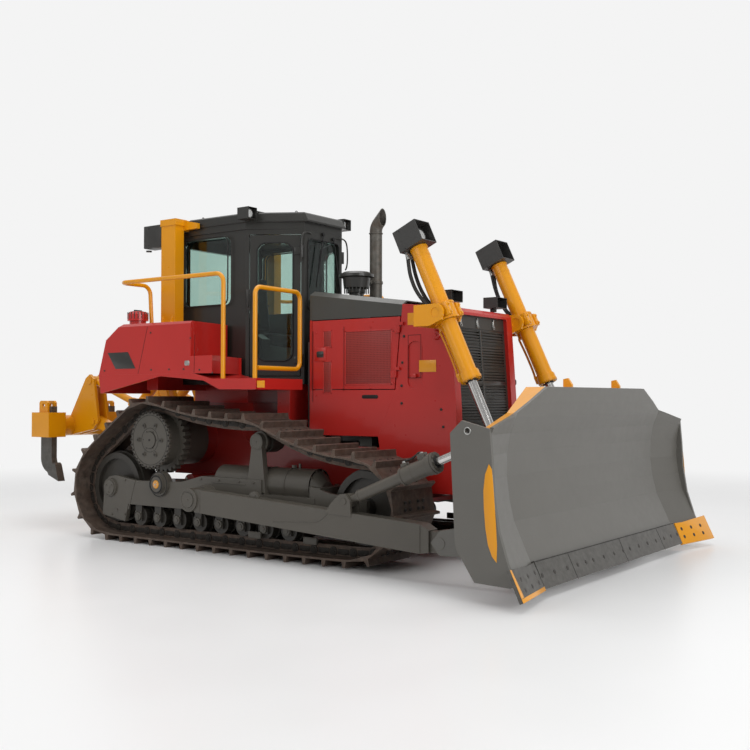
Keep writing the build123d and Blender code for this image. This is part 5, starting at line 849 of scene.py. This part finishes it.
for side, hand in ((-1, "right"), (1, "left")):
    tilt = bmesh.new()
    for along, radius, width in ((128, 52, 14), (592, 76, 18), (700, 74, 8), (846, 80, 84), (884, 88, 26),
                                 (912, 84, 20)):
        sleeve(tilt, radius, 40, width, facing(on_tilt(side, along), UP_TILT))
    round_of_bolts(tilt, 8, 60, 9, facing(on_tilt(side, 932), UP_TILT))
    block(tilt, (60, 70, 46), facing(on_tilt(side, 820, 66), OVER_TILT, UP_TILT), 5)
    block(tilt, (46, 60, 30), facing(on_tilt(side, 640, 68), OVER_TILT, UP_TILT), 5)
    keep(tilt, f"tilt_gland_{hand}", FRAME_ENAMEL, f"tilt_barrel_{hand}")
    fittings = bmesh.new()
    for along in (820, 640):
        drum(fittings, 16, 20, facing(on_tilt(side, along, 100 if along > 700 else 92), OVER_TILT), 6)
    keep(fittings, f"tilt_fittings_{hand}", ZINC_STEEL, f"tilt_barrel_{hand}")
    tilt_route = ((820, 118), (800, 128), (760, 112), (700, 104), (660, 112), (640, 112))
    pipe(f"tilt_pipe_{hand}", [on_tilt(side, *spot) for spot in tilt_route], 9, BOLT_STEEL, f"tilt_barrel_{hand}")
    wiper = bmesh.new()
    sleeve(wiper, 46, 34.6, 8, facing(on_tilt(side, 930), UP_TILT))
    keep(wiper, f"tilt_wiper_{hand}", SEAL_RUBBER, f"tilt_barrel_{hand}")

# %% [markdown]
# ## Lift cylinders
# The barrels hang in clamped yokes. A hard pipe feeds the lower end, hexagon fittings carry the
# hoses, and the lamp box on top is a folded hood with a round lamp set back inside it. The CAD
# box is solid, so a hollow one of the same outside replaces it: a cube whose front face is inset
# and extruded inwards.

# %% Yokes, pipes and fittings
IN_FRONT = -BEHIND_BARREL
for side, hand in ((-1, "right"), (1, "left")):
    body = f"lift_barrel_{hand}"
    yoke = bmesh.new()
    for up in (60, -75):
        sleeve(yoke, 110, 60, 16, facing(on_barrel(side, up, 0), -DOWN_BARREL))
    for across in (-84, 84):
        block(yoke, (56, 120, 54), facing(on_barrel(side, 0, -54, across), IN_FRONT, -DOWN_BARREL), 6)
        block(yoke, (56, 120, 54), facing(on_barrel(side, 0, 54, across), BEHIND_BARREL, -DOWN_BARREL), 6)
        for up in (-38, 38):
            bolt(yoke, 15, facing(on_barrel(side, up, -108, across), IN_FRONT, -DOWN_BARREL))
    for up, radius in ((636, 80), (560, 76), (-548, 84), (-600, 92)):
        sleeve(yoke, radius, 60, 18, facing(on_barrel(side, up - 18, 0), -DOWN_BARREL))
    block(yoke, (66, 74, 40), facing(on_barrel(side, -560, 66), BEHIND_BARREL, -DOWN_BARREL), 6)
    block(yoke, (66, 54, 30), facing(on_barrel(side, -104, 66), BEHIND_BARREL, -DOWN_BARREL), 6)
    round_of_bolts(yoke, 8, 66, 8, facing(on_barrel(side, -627, 0), DOWN_BARREL), 0.2)
    keep(yoke, f"lift_yoke_{hand}", YELLOW_ENAMEL, body)
    lift_route = ((-104, 92), (-112, 108), (-160, 104), (-300, 98), (-480, 98), (-548, 110), (-562, 96))
    pipe(f"lift_pipe_{hand}", [on_barrel(side, *spot) for spot in lift_route], 11, YELLOW_ENAMEL, body)
    fittings = bmesh.new()
    for across, behind in ((-46, 104), (8, 100)):
        drum(fittings, 20, 34, facing(on_barrel(side, 642, behind, across), DOWN_BARREL), 6)
        drum(fittings, 18.5, 30, facing(on_barrel(side, 608, behind + 1, across), DOWN_BARREL), 20)
    for across, behind in ((-46, 98), (8, 97)):
        drum(fittings, 19, 26, facing(on_barrel(side, 76, behind, across), -DOWN_BARREL), 6)
        drum(fittings, 18, 26, facing(on_barrel(side, 100, behind, across), -DOWN_BARREL), 20)
    keep(fittings, f"lift_fittings_{hand}", ZINC_STEEL, body)
    wiper = bmesh.new()
    sleeve(wiper, 54, 40.8, 9, facing(on_barrel(side, -627, 0), DOWN_BARREL))
    keep(wiper, f"lift_wiper_{hand}", SEAL_RUBBER, body)

# %% [markdown]
# ### Lamp boxes
# The lamp sits deep in a folded box. Insetting the front face and pushing it back gives walls of even
# thickness with few faces. The box replaces the CAD block, which has no recess.

# %% Hooded lamps
def hood_box(bm, size, where, wall=9.0, depth=0.72):
    """Folded hood: a block whose outer face is inset by the wall and pushed back inside."""
    middle = Matrix.Translation((0, 0, size[2] / 2)) @ Matrix.Diagonal((*size, 1))
    made = bmesh.ops.create_cube(bm, size=1, matrix=where @ middle)["verts"]
    out = where.to_3x3().col[2]
    open_face = max({face for vert in made for face in vert.link_faces}, key=lambda f: f.calc_center_median().dot(out))
    bmesh.ops.inset_region(bm, faces=[open_face], thickness=wall)
    pushed = bmesh.ops.extrude_face_region(bm, geom=[open_face])["geom"]
    bmesh.ops.translate(bm, verts=[v for v in pushed if isinstance(v, bmesh.types.BMVert)], vec=-out * size[2] * depth)
    bmesh.ops.delete(bm, geom=[open_face], context="FACES_ONLY")


def round_lamp(shell, lens, radius, where):
    """Lamp body with a bezel, and its lens."""
    drum(shell, radius * 1.04, radius * 0.75, where, 36, radius * 1.12)
    ring(shell, radius * 1.02, radius * 0.1, where @ Matrix.Translation((0, 0, radius * 0.75)), 40, 8)
    drum(lens, radius * 0.93, radius * 0.12, where @ Matrix.Translation((0, 0, radius * 0.72)), 40, radius * 0.8)


for side, hand in ((-1, "right"), (1, "left")):
    body = f"lift_barrel_{hand}"
    shell, lens = bmesh.new(), bmesh.new()
    hood_box(shell, (230, 200, 250), facing(on_barrel(side, 740.3, 125), IN_FRONT, -DOWN_BARREL), 10, 0.5)
    inside = facing(on_barrel(side, 740, 0, 12 * side), IN_FRONT, -DOWN_BARREL)
    round_lamp(shell, lens, 56, inside @ Matrix.Translation((32 * -side, 0, 20)))
    block(shell, (52, 120, 26), inside @ Matrix.Translation((-58 * -side, 0, 0)), 3)
    for up in (-40, 0, 40):
        bolt(shell, 8, inside @ Matrix.Translation((-58 * -side, up, 26)))
    for end in (-1, 1):
        for up in (655, 820):
            bolt(shell, 6, facing(on_barrel(side, up, 60, 115 * end), (0, -side * end, 0), -DOWN_BARREL))
    housing = keep(shell, f"lift_lamp_hood_{hand}", LAMP_PLASTIC, body)
    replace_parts(housing, f"lift_lamp_{hand}")
    keep(lens, f"lift_lamp_lens_{hand}", LENS, body)

# %% [markdown]
# ## Blade
# The edge is a row of bolted wear plates. Flush plough bolts show as dark round heads, and thin
# dark joints part the plates. The end bits are thicker castings with a yellow wear-guard strip,
# so plates with bevelled rims replace the CAD ones and the strips are laid on them.

# %% Cutting edge
FOOT = Vector((3195, 0, 150))
UP_BLADE = Vector((-0.4305, 0, 0.9026))
OFF_BLADE = Vector((0.9026, 0, 0.4305))


def on_edge(y, up, off=28.5):
    """Point on the front of the cutting edge."""
    return FOOT + UP_BLADE * up + OFF_BLADE * off + Vector((0, y, 0))


plough_bolts = bmesh.new()
for y in (-1389, -1189, -973, -792, -640, -502, -297, -91, 100, 246, 445, 646, 849, 1050, 1230, 1389):
    spot = facing(on_edge(y, -6), OFF_BLADE, UP_BLADE)
    drum(plough_bolts, 17, 1.6, spot, 20)
    block(plough_bolts, (15, 15, 2.6), spot, 0.5)
keep(plough_bolts, "edge_bolts", BOLT_STEEL, "blade")
edge_joints = bmesh.new()
for y in (-877, 110, 962):
    block(edge_joints, (5, 204, 0.8), facing(on_edge(y, -5), OFF_BLADE, UP_BLADE))
block(edge_joints, (2836, 5, 3), facing(on_edge(0, 101, 27), OFF_BLADE, UP_BLADE))
keep(edge_joints, "edge_joints", SEAM_SHADOW, "blade")
edge_bead = bmesh.new()
for y in range(-1400, 1401, 14):
    bmesh.ops.create_icosphere(edge_bead, subdivisions=1, radius=6.5, matrix=Matrix.Translation(on_edge(y, 107, 3)))
keep(edge_bead, "edge_weld", BLADE_ENAMEL, "blade")

# %% [markdown]
# ### End bits
# The two outer castings lean back with the wings, so their frame is built from the wing's slope and
# the edge's lean. The right one is bare steel with yellow strips and the left one is all yellow.

# %% End bits
WING_SLOPE = 95 / 449.7
for side, hand in ((-1, "right"), (1, "left")):
    along = Vector((WING_SLOPE, side, 0)).normalized()
    normal = UP_BLADE.cross(along).normalized() * -side
    upward = normal.cross(along)
    upward *= -1 if upward.z < 0 else 1
    wing = Matrix((along, upward, normal)).transposed().to_4x4()
    wing.translation = FOOT + Vector((0, side * 1420, 0)) + normal * 0.6
    bit = bmesh.new()
    plate(bit, [(18, -110), (588, -100), (570, 135), (150, 100), (18, 100)], 27.4, wing, 3.0)
    casting = keep(bit, f"end_bit_{hand}", WEAR_STEEL if side < 0 else YELLOW_ENAMEL, "blade")
    if side < 0:
        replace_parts(casting, "end_bits")
        guard_strip = bmesh.new()
        on_bit = wing @ Matrix.Translation((0, 0, 27.4))
        plate(guard_strip, [(20, -112), (590, -102), (588, -72), (22, -82)], 1.2, on_bit, 0.5)
        plate(guard_strip, [(524, -70), (586, -70), (570, 131), (538, 127)], 1.2, on_bit, 0.5)
        keep(guard_strip, "end_bit_strip", YELLOW_ENAMEL, "blade")
    bit_bolts = bmesh.new()
    for across in (92, 262, 430):
        for up in (-42, 34):
            spot = wing @ Matrix.Translation((across, up + across * 0.02, 27.4))
            drum(bit_bolts, 17, 1.4, spot, 20)
            block(bit_bolts, (15, 15, 2.4), spot, 0.5)
    keep(bit_bolts, f"end_bit_bolts_{hand}", BOLT_STEEL, "blade")

# %% [markdown]
# ## Blade ends
# A yellow strip, pointed at both ends, follows the front rim of each end plate so that the driver
# can see the blade's corner. A bronze bush lines the lifting hole. The bead along the spill plate is a
# row of small overlapping drops, as a welder lays it.

# %% Markers, bush and weld
markers = bmesh.new()
bush = bmesh.new()
end_plate = upright_wall(-1900.4)
plate(markers, [(3078, 975), (3048, 905), (3034, 790), (3038, 665), (3050, 530), (3069, 421), (3100, 345), (3136, 305),
                (3140, 420), (3132, 562), (3122, 700), (3112, 834), (3101, 940)], 2.5, end_plate, 0.8)
ring(bush, 24, 5, facing((2906, -1900, 1200), (0, -1, 0)), 32, 8)
keep(markers, "corner_markers", YELLOW_ENAMEL, "blade", True)
keep(bush, "lifting_bush", ZINC_STEEL, "blade", True)
spill_weld = bmesh.new()
for y in range(-1380, 1381, 13):
    bmesh.ops.create_icosphere(spill_weld, subdivisions=1, radius=6, matrix=Matrix.Translation((3028, y, 1321)))
keep(spill_weld, "spill_plate_weld", BLADE_ENAMEL, "blade")

# %% [markdown]
# ## Radiator grille
# Behind the blade the radiator is guarded by banks of slats across it, either side of a centre bar.
# A grey panel with over-centre clips closes the top. Thin blocks above each other make them: the
# shape is repeated often, so each keeps to a few faces.


# %% Fins and clips
def grille_x(z):
    """Front face of the leaning grille at a height."""
    return 1972 - (z - 1064) * 72 / 1052


LEAN = Vector((1, 0, 72 / 1052)).normalized()
fins = bmesh.new()
for low, high in ((1096, 1548), (1584, 2035)):
    for number in range(int((high - low) / 24)):
        z = low + 14 + 24 * number
        for y in (-219, 219):
            block(fins, (406, 8, 12), facing((grille_x(z) - 8, y, z), LEAN), 0)
keep(fins, "grille_slats", BLACK_ENAMEL, "chassis")
grille_frame = bmesh.new()
for low, high in ((1086, 1094), (1550, 1582), (2037, 2046)):
    middle = (low + high) / 2
    block(grille_frame, (880, high - low, 5), facing((grille_x(middle), 0, middle), LEAN), 1.5)
block(grille_frame, (30, 955, 6), facing((grille_x(1566), 0, 1566), LEAN), 2)
keep(grille_frame, "grille_frame", BLACK_ENAMEL, "chassis")
clips = bmesh.new()
for y in (-330, -40, 250):
    base = facing((grille_x(2107) + 1, y, 2107), LEAN)
    block(clips, (30, 52, 6), base, 2)
    block(clips, (14, 74, 11), base @ Matrix.Translation((0, 8, 0)), 3)
    ring(clips, 15, 3, base @ Matrix.Translation((0, -30, 8)), 20, 6)
keep(clips, "grille_clips", ZINC_STEEL, "chassis")
panel_line = bmesh.new()
block(panel_line, (900, 5, 2), facing((grille_x(2049), 0, 2049), LEAN))
keep(panel_line, "grille_panel_joint", SEAM_SHADOW, "chassis")
pipe("grille_pull", [(1925, 552, 1606), (1925, 610, 1606), (1925, 640, 1596), (1925, 640, 1560), (1925, 610, 1550),
                     (1925, 552, 1550)], 11, BLACK_ENAMEL, "chassis")

# %% [markdown]
# ## Guard, hood and engine doors
# Sheet-metal work is told apart by small things: rows of bolts, dark joints, and a perforated
# panel that lets the engine breathe. Perforated sheet is thin, so it is laid just outside the
# door as a plate whose finish draws the holes dark with painted shade. Rating plates are left blank.

# %% Bolts, joints and screens
SIDE = -550.0


def on_side(x, z, off=0.0):
    """Frame on the right-hand wall of the hood."""
    return facing((x, SIDE - off, z), (0, -1, 0))


def side_panel(bm, outline, thickness, off=0.0, bevel=0.0):
    """Flat plate on the hood's wall from its (x, z) outline."""
    plate(bm, outline, thickness, upright_wall(SIDE - off), bevel)


guard_bolts = bmesh.new()
for x, z in ((1450, 1978), (1433, 1744), (1425, 1538), (1425, 1382), (1690, 2060), (1840, 1330), (1862, 1180)):
    bolt(guard_bolts, 11, on_side(x, z, 0.5))
keep(guard_bolts, "guard_bolts", BOLT_STEEL, "chassis", True)
rating_plates = bmesh.new()
side_panel(rating_plates, [(1490, 2075), (1682, 2075), (1682, 2182), (1490, 2182)], 2.5, 0.4, 0.8)
side_panel(rating_plates, [(1612, 1657), (1788, 1657), (1788, 1760), (1612, 1760)], 2.5, 0.4, 0.8)
keep(rating_plates, "guard_rating_plates", YELLOW_ENAMEL, "chassis", True)
recess = bmesh.new()
for outline in (box_outline(1493, 1605, 1497, 1987), box_outline(1493, 1983, 1631, 1987),
                box_outline(1627, 1605, 1631, 1987), box_outline(1493, 1605, 1631, 1610)):
    side_panel(recess, outline, 1.2, 0.3)
for outline in (box_outline(776, 1490, 779, 2090), box_outline(405, 1390, 409, 2060)):
    side_panel(recess, outline, 1.2, 3.0)
keep(recess, "guard_recess_joint", SEAM_SHADOW, "chassis", True)
guard_boss = bmesh.new()
drum(guard_boss, 46, 20, on_side(1797, 1977), 36, 34)
bolt(guard_boss, 12, on_side(1797, 1977, 20))
block(guard_boss, (48, 34, 20), on_side(1560, 1625), 3)
keep(guard_boss, "guard_boss", RED_ENAMEL, "chassis", True)

for side, hand in ((-1, "right"), (1, "left")):
    wall = upright_wall(side * 550.4, side)
    screens = bmesh.new()
    plate(screens, [(800, 1560), (1306, 1560), (1306, 2036), (800, 2036)], 1.6, wall, 0.5)
    for low, high in ((1480, 1768), (1910, 2052)):
        plate(screens, [(539, low), (624, low), (624, high), (539, high)], 1.6, wall, 0.5)
    keep(screens, f"door_screen_{hand}", SCREEN, f"engine_door_{hand}")
    rims = bmesh.new()
    for low, high, left, right in ((1548, 2048, 788, 1318), (1468, 1776, 530, 633), (1900, 2062, 530, 633)):
        for outline in border(left, low, right, high, 10):
            plate(rims, outline, 3.0, wall, 1.0)
    plate(rims, [(430, 1776), (564, 1776), (564, 1902), (430, 1902)], 5.0, wall, 1.5)
    for x, z in ((770, 1520), (1080, 1520), (1335, 1560), (1335, 2030), (770, 2070), (1080, 2070), (445, 1450),
                 (445, 2040)):
        bolt(rims, 7, wall @ Matrix.Translation((x, z, 0)))
    keep(rims, f"door_screen_rim_{hand}", RED_ENAMEL, f"engine_door_{hand}")
    latch = bmesh.new()
    plate(latch, [(x + 497, z + 1839) for x, z in rounded(84, 58, 14)], 3, wall @ Matrix.Translation((0, 0, 5)), 1)
    plate(latch, [(x + 505, z + 1839) for x, z in rounded(50, 18, 6)], 9, wall @ Matrix.Translation((0, 0, 5)), 2)
    keep(latch, f"door_latch_{hand}", BLACK_ENAMEL, f"engine_door_{hand}")

lower_panel = bmesh.new()
side_panel(lower_panel, [(x + 1076, z + 1440) for x, z in rounded(180, 34, 15)], 2.0, 0.4, 0.6)
keep(lower_panel, "panel_slot", SEAM_SHADOW, "chassis", True)

# %% [markdown]
# ## Fenders, steps and tank
# The fender is folded sheet over the track. Thin joints show where its covers meet, a long black
# plate carries the lettering on the real machine and stays blank here, and a small chrome latch
# holds the battery cover. The filler has a ribbed cap with a grip bar.


# %% Fender trim
FENDER_SIDE = -1295.0


def fender_panel(bm, outline, thickness, off=0.4, bevel=0.0):
    """Flat plate on the fender's outer wall from its (x, z) outline."""
    plate(bm, outline, thickness, upright_wall(FENDER_SIDE - off), bevel)


black_plate = bmesh.new()
fender_panel(black_plate, [(-1654, 1879), (-1532, 1716), (-1236, 1716), (-1348, 1881)], 2.2, bevel=0.8)
keep(black_plate, "fender_blank_plate", BLACK_ENAMEL, "chassis", True)
joints = bmesh.new()
for (x1, z1), (x2, z2) in (((-1067, 2120), (-1199, 1664)), ((-411, 2020), (-421, 1664))):
    fender_panel(joints, [(x1 - 2, z1), (x2 - 2, z2), (x2 + 2, z2), (x1 + 2, z1)], 1.0)
keep(joints, "fender_joints", SEAM_SHADOW, "chassis", True)
fender_bits = bmesh.new()
wall = facing((-515, FENDER_SIDE - 0.4, 1756), (0, -1, 0))
plate(fender_bits, rounded(64, 46, 12), 3, wall, 1)
block(fender_bits, (40, 14, 9), wall @ Matrix.Translation((0, 0, 3)), 3)
keep(fender_bits, "cover_latches", ZINC_STEEL, "chassis", True)
fender_bolts = bmesh.new()
for x, z in ((-1010, 1700), (-760, 1700), (-560, 1700), (-350, 1690), (-180, 1660), (-470, 1990), (-1020, 2060),
             (-1700, 1700)):
    bolt(fender_bolts, 8, facing((x, FENDER_SIDE - 0.4, z), (0, -1, 0)))
keep(fender_bolts, "fender_bolts", BOLT_STEEL, "chassis", True)
deck_plates = bmesh.new()
fender_panel(deck_plates, [(376, 1520), (466, 1520), (466, 1582), (376, 1582)], 2.0, bevel=0.7)
keep(deck_plates, "step_blank_plate", YELLOW_ENAMEL, "chassis", True)

filler = bmesh.new()
top = facing((-1545, -1000, 2300), UPRIGHT)
for number in range(18):
    spin = Matrix.Rotation(2 * pi * number / 18, 4, "Z")
    block(filler, (9, 7, 70), facing((-1545, -1000, 2232), UPRIGHT) @ spin @ Matrix.Translation((0, 104, 0)), 2)
drum(filler, 64, 10, top @ Matrix.Translation((0, 0, 4)), 36, 56)
block(filler, (100, 16, 16), top @ Matrix.Translation((0, 0, 12)), 4)
keep(filler, "filler_cap_ribs", BLACK_ENAMEL, "chassis")

# %% [markdown]
# ## Cab
# Door and windows sit in black rubber seals, the door opens by a lever, and two wipers rest on
# the front glass. Seals are closed loops of thin round section, made as curves because they only
# follow an outline. Levers, hinges and wiper blades are small bevelled blocks.


# %% Door seals, handles and hinges
def on_door(side, along, z, out=0.0):
    """Point on a cab door: along it from its front post, up, and out of it."""
    return Vector((90 - 0.8499 * along + 0.5269 * out, side * (300 + 0.5269 * along + 0.8499 * out), z))


for side, hand in ((-1, "right"), (1, "left")):
    body = f"cab_door_{hand}"
    outline = [(0.5 * (120 + 468) + x, 2380 + z) for x, z in rounded(360, 1172, 94, 8)]
    pipe(f"door_seal_{hand}", [on_door(side, along, z, 3) for along, z in outline], 8, SEAL_RUBBER, body, True)
    fitting = bmesh.new()
    out = (0.5269, side * 0.8499, 0)
    for z in (1800, 2880):
        drum(fitting, 15, 120, facing(on_door(side, 26, z - 60, 18), UPRIGHT), 20)
        block(fitting, (90, 70, 8), facing(on_door(side, 60, z, 0), out), 3)
        for along in (48, 82):
            bolt(fitting, 7, facing(on_door(side, along, z, 8), out))
    block(fitting, (44, 210, 8), facing(on_door(side, 560, 2400, 0), out), 5)
    block(fitting, (20, 150, 12), facing(on_door(side, 560, 2400, 34), out), 5)
    for z in (2335, 2465):
        block(fitting, (18, 18, 34), facing(on_door(side, 560, z, 4), out), 3)
    drum(fitting, 12, 12, facing(on_door(side, 560, 2290, 4), out), 20)
    keep(fitting, f"door_fittings_{hand}", BLACK_ENAMEL, body)

# %% [markdown]
# ### Windows and wipers
# Round rubber seals go round each pane as closed curves. Wipers are thin blocks turned along their own
# line, with a drum at the spindle.

# %% Windows and wipers
for side, hand in ((-1, "right"), (1, "left")):
    wall_y = side * 661.0
    seal = [(-940 + x, wall_y, 2708 + z) for x, z in rounded(668, 692, 70, 6)]
    pipe(f"side_window_seal_{hand}", seal, 7, SEAL_RUBBER, "chassis", True)
front_seal = [(92, x, 2655 + z) for x, z in rounded(498, 718, 60, 6)]
pipe("front_window_seal", front_seal, 7, SEAL_RUBBER, "chassis", True)
wipers = bmesh.new()
for (y1, z1), (y2, z2) in (((-18, 3080), (-96, 2683)), ((146, 3050), (225, 2655))):
    arm = Vector((0, y2 - y1, z2 - z1))
    middle = Vector((100, (y1 + y2) / 2, (z1 + z2) / 2))
    block(wipers, (9, arm.length, 8), facing(middle, ALONG_X, arm), 2)
    block(wipers, (7, 380, 12), facing((94, y2, z2 + 40), ALONG_X, arm), 2)
    drum(wipers, 18, 16, facing((92, y1, z1), ALONG_X), 20)
keep(wipers, "front_wipers", SEAL_RUBBER, "chassis")
MIRROR_LOOP = ((80, 200, 3060), (104, 210, 3070), (108, 330, 3072), (108, 372, 3000), (108, 372, 2780), (84, 366, 2760))
for side, hand in ((-1, "right"), (1, "left")):
    pipe(f"mirror_loop_{hand}", [(x, side * y, z) for x, y, z in MIRROR_LOOP], 8, BLACK_ENAMEL, "chassis")

# %% [markdown]
# ## Roof, lamps and camera
# Work lamps are small hooded boxes: the guard pair looks at the blade, the roof pair looks ahead
# and a closed box behind the post holds a round rear camera. They replace the plain CAD blocks,
# with a deep recess behind each lens. Lifting eyes and a cable finish the roof.

# %% Lamps
lamps, lenses = bmesh.new(), bmesh.new()
for y in (-403, 403):
    hood_box(lamps, (186, 100, 150), facing((1764, y, 2322), ALONG_X), 6, 0.62)
    block(lamps, (60, 30, 40), facing((1800, y, 2255), ALONG_X), 4)
    block(lenses, (150, 66, 10), facing((1810, y, 2322), ALONG_X), 3)
    block(lamps, (190, 150, 4), facing((1838, y, 2368), UPRIGHT, ALONG_X), 1)
for x, y, z in ((-310, -700, 3235), (-126, 580, 3276)):
    hood_box(lamps, (124, 114, 148), facing((x - 74, y, z), ALONG_X), 5, 0.5)
block(lamps, (18, 240, 13), facing((-310, -530, 3269), UPRIGHT, ALONG_Y), 2)
block(lamps, (38, 165, 13), facing((-284, 520, 3269), UPRIGHT, ALONG_X), 2)
round_lamp(lamps, lenses, 44, facing((-310, -700, 3235), ALONG_X))
block(lenses, (96, 82, 9), facing((-118, 580, 3276), ALONG_X), 3)
block(lamps, (157, 236, 266), facing((-1680, -735, 3107), ALONG_X), 9)
drum(lamps, 30, 14, facing((-1654, -760, 2974), -UPRIGHT), 28)
drum(lenses, 16, 18, facing((-1654, -760, 2973), -UPRIGHT), 24)
for x in (-1600, -1480):
    for z in (3020, 3194):
        bolt(lamps, 6, facing((x, -813, z), (0, -1, 0)))
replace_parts(keep(lamps, "work_lamp_hoods", LAMP_PLASTIC, "chassis"), "work_lamps")
keep(lenses, "work_lamp_lenses", LENS, "chassis")

roof_bits = bmesh.new()
for x, y in ((-1100, -520), (-1100, 520), (-60, -250), (-60, 250)):
    drum(roof_bits, 15, 5, facing((x, y, 3268), UPRIGHT), 20)
    ring(roof_bits, 13, 4, facing((x, y, 3288), (0, 1, 0)), 20, 8)
keep(roof_bits, "roof_eyebolts", BOLT_STEEL, "chassis")
pipe("roof_cable_right", [(-1280, -672, 2360), (-1288, -680, 2500), (-1284, -676, 2900), (-1280, -672, 3120),
                          (-1250, -640, 3200)], 7, HOSE_RUBBER, "chassis")

# %% [markdown]
# ## Roll-over posts and exhaust
# The yellow posts are bolted down through foot plates and carry a cross beam. The exhaust is a
# plain steel stack clamped half-way up, and the pre-cleaner is a ribbed plastic
# bowl. Bolts stand on the foot plates in rows.

# %% Post bolts, exhaust and pre-cleaner
post_bolts = bmesh.new()
for x in (-1400, -1290, -1180):
    for y in (-800, -655):
        bolt(post_bolts, 13, facing((x, y, 2190), UPRIGHT))
keep(post_bolts, "post_bolts", YELLOW_ENAMEL, "chassis", True)
stack = bmesh.new()
for z, width in ((2560, 26), (3060, 8)):
    drum(stack, 70, width, facing((620, 170, z), UPRIGHT), 40)
block(stack, (24, 34, 26), facing((620, 98, 2573), (0, -1, 0)), 3)
bolt(stack, 7, facing((620, 74, 2573), (0, -1, 0)))
keep(stack, "exhaust_clamp", STACK_STEEL, "chassis")
bowl = bmesh.new()
cleaner = facing((620, -150, 2380), UPRIGHT)
for number in range(20):
    spin = Matrix.Rotation(2 * pi * number / 20, 4, "Z")
    block(bowl, (6, 10, 60), cleaner @ spin @ Matrix.Translation((118, 0, 60)), 2)
drum(bowl, 76, 14, cleaner, 36)
keep(bowl, "pre_cleaner_ribs", BLACK_ENAMEL, "chassis")

# %% [markdown]
# ## Seat
# An operator's seat is foam under woven cloth. A foam block shrinks and bulges unevenly, which a
# bevelled box never shows, so each cushion starts slightly small, is remeshed evenly and is
# inflated by the cloth solver until its corners round off. A piped seam runs round it afterwards.


# %% Cushions
def cushion(name, size, middle, lean, seam):
    """Soft cushion blown up from a rounded block, then set at its place."""
    bm = bmesh.new()
    block(bm, [s * 0.94 for s in size], Matrix.Translation((0, 0, -size[2] * 0.47)), 26)
    bmesh.ops.recalc_face_normals(bm, faces=bm.faces)
    bmesh.ops.scale(bm, vec=(0.001, 0.001, 0.001), verts=bm.verts)
    mesh = bpy.data.meshes.new(name)
    bm.to_mesh(mesh)
    bm.free()
    item = bpy.data.objects.new(name, mesh)
    scene.collection.objects.link(item)
    with bpy.context.temp_override(object=item, active_object=item, selected_objects=[item]):
        remesh = item.modifiers.new("even", "REMESH")
        remesh.mode, remesh.voxel_size = "VOXEL", 0.009
        bpy.ops.object.modifier_apply(modifier="even")
    rest = [vert.co.copy() for vert in item.data.vertices]
    cloth = item.modifiers.new("foam", "CLOTH")
    cloth.settings.use_pressure, cloth.settings.uniform_pressure_force = True, 4
    cloth.settings.effector_weights.gravity = 0
    cloth.point_cache.frame_start, cloth.point_cache.frame_end = 1, 20
    for number in range(1, 21):
        scene.frame_set(number)
        solved = item.evaluated_get(bpy.context.evaluated_depsgraph_get()).data
    puffed = [vert.co.copy() for vert in solved.vertices]
    item.modifiers.clear()
    scene.frame_set(1)
    for vert, start, end in zip(item.data.vertices, rest, puffed):
        move = end - start
        vert.co = start + move * min(1.0, 0.016 / max(move.length, 1e-9))
    turn = Matrix.Translation(Vector(middle) / 1000) @ Matrix.Rotation(radians(lean), 4, "Y")
    item.data.transform(turn)
    item.data.shade_smooth()
    scene.collection.objects.unlink(item)
    show(item, SEAT_CLOTH, "chassis")
    rim = [turn @ (Vector((x, y, seam)) / 1000) * 1000 for x, y in rounded(size[0] * 0.98, size[1] * 0.98, 40)]
    pipe(name + "_piping", rim, 4, SEAL_RUBBER, "chassis", True)
    print(name, len(item.data.polygons), "faces")
    return item


seat = cushion("seat_cushion", (470, 500, 110), (-640, 0, 2022), -3, 30)
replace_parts(seat, "seat_pads")
cushion("seat_back", (110, 480, 640), (-885, 0, 2420), -6, 0)
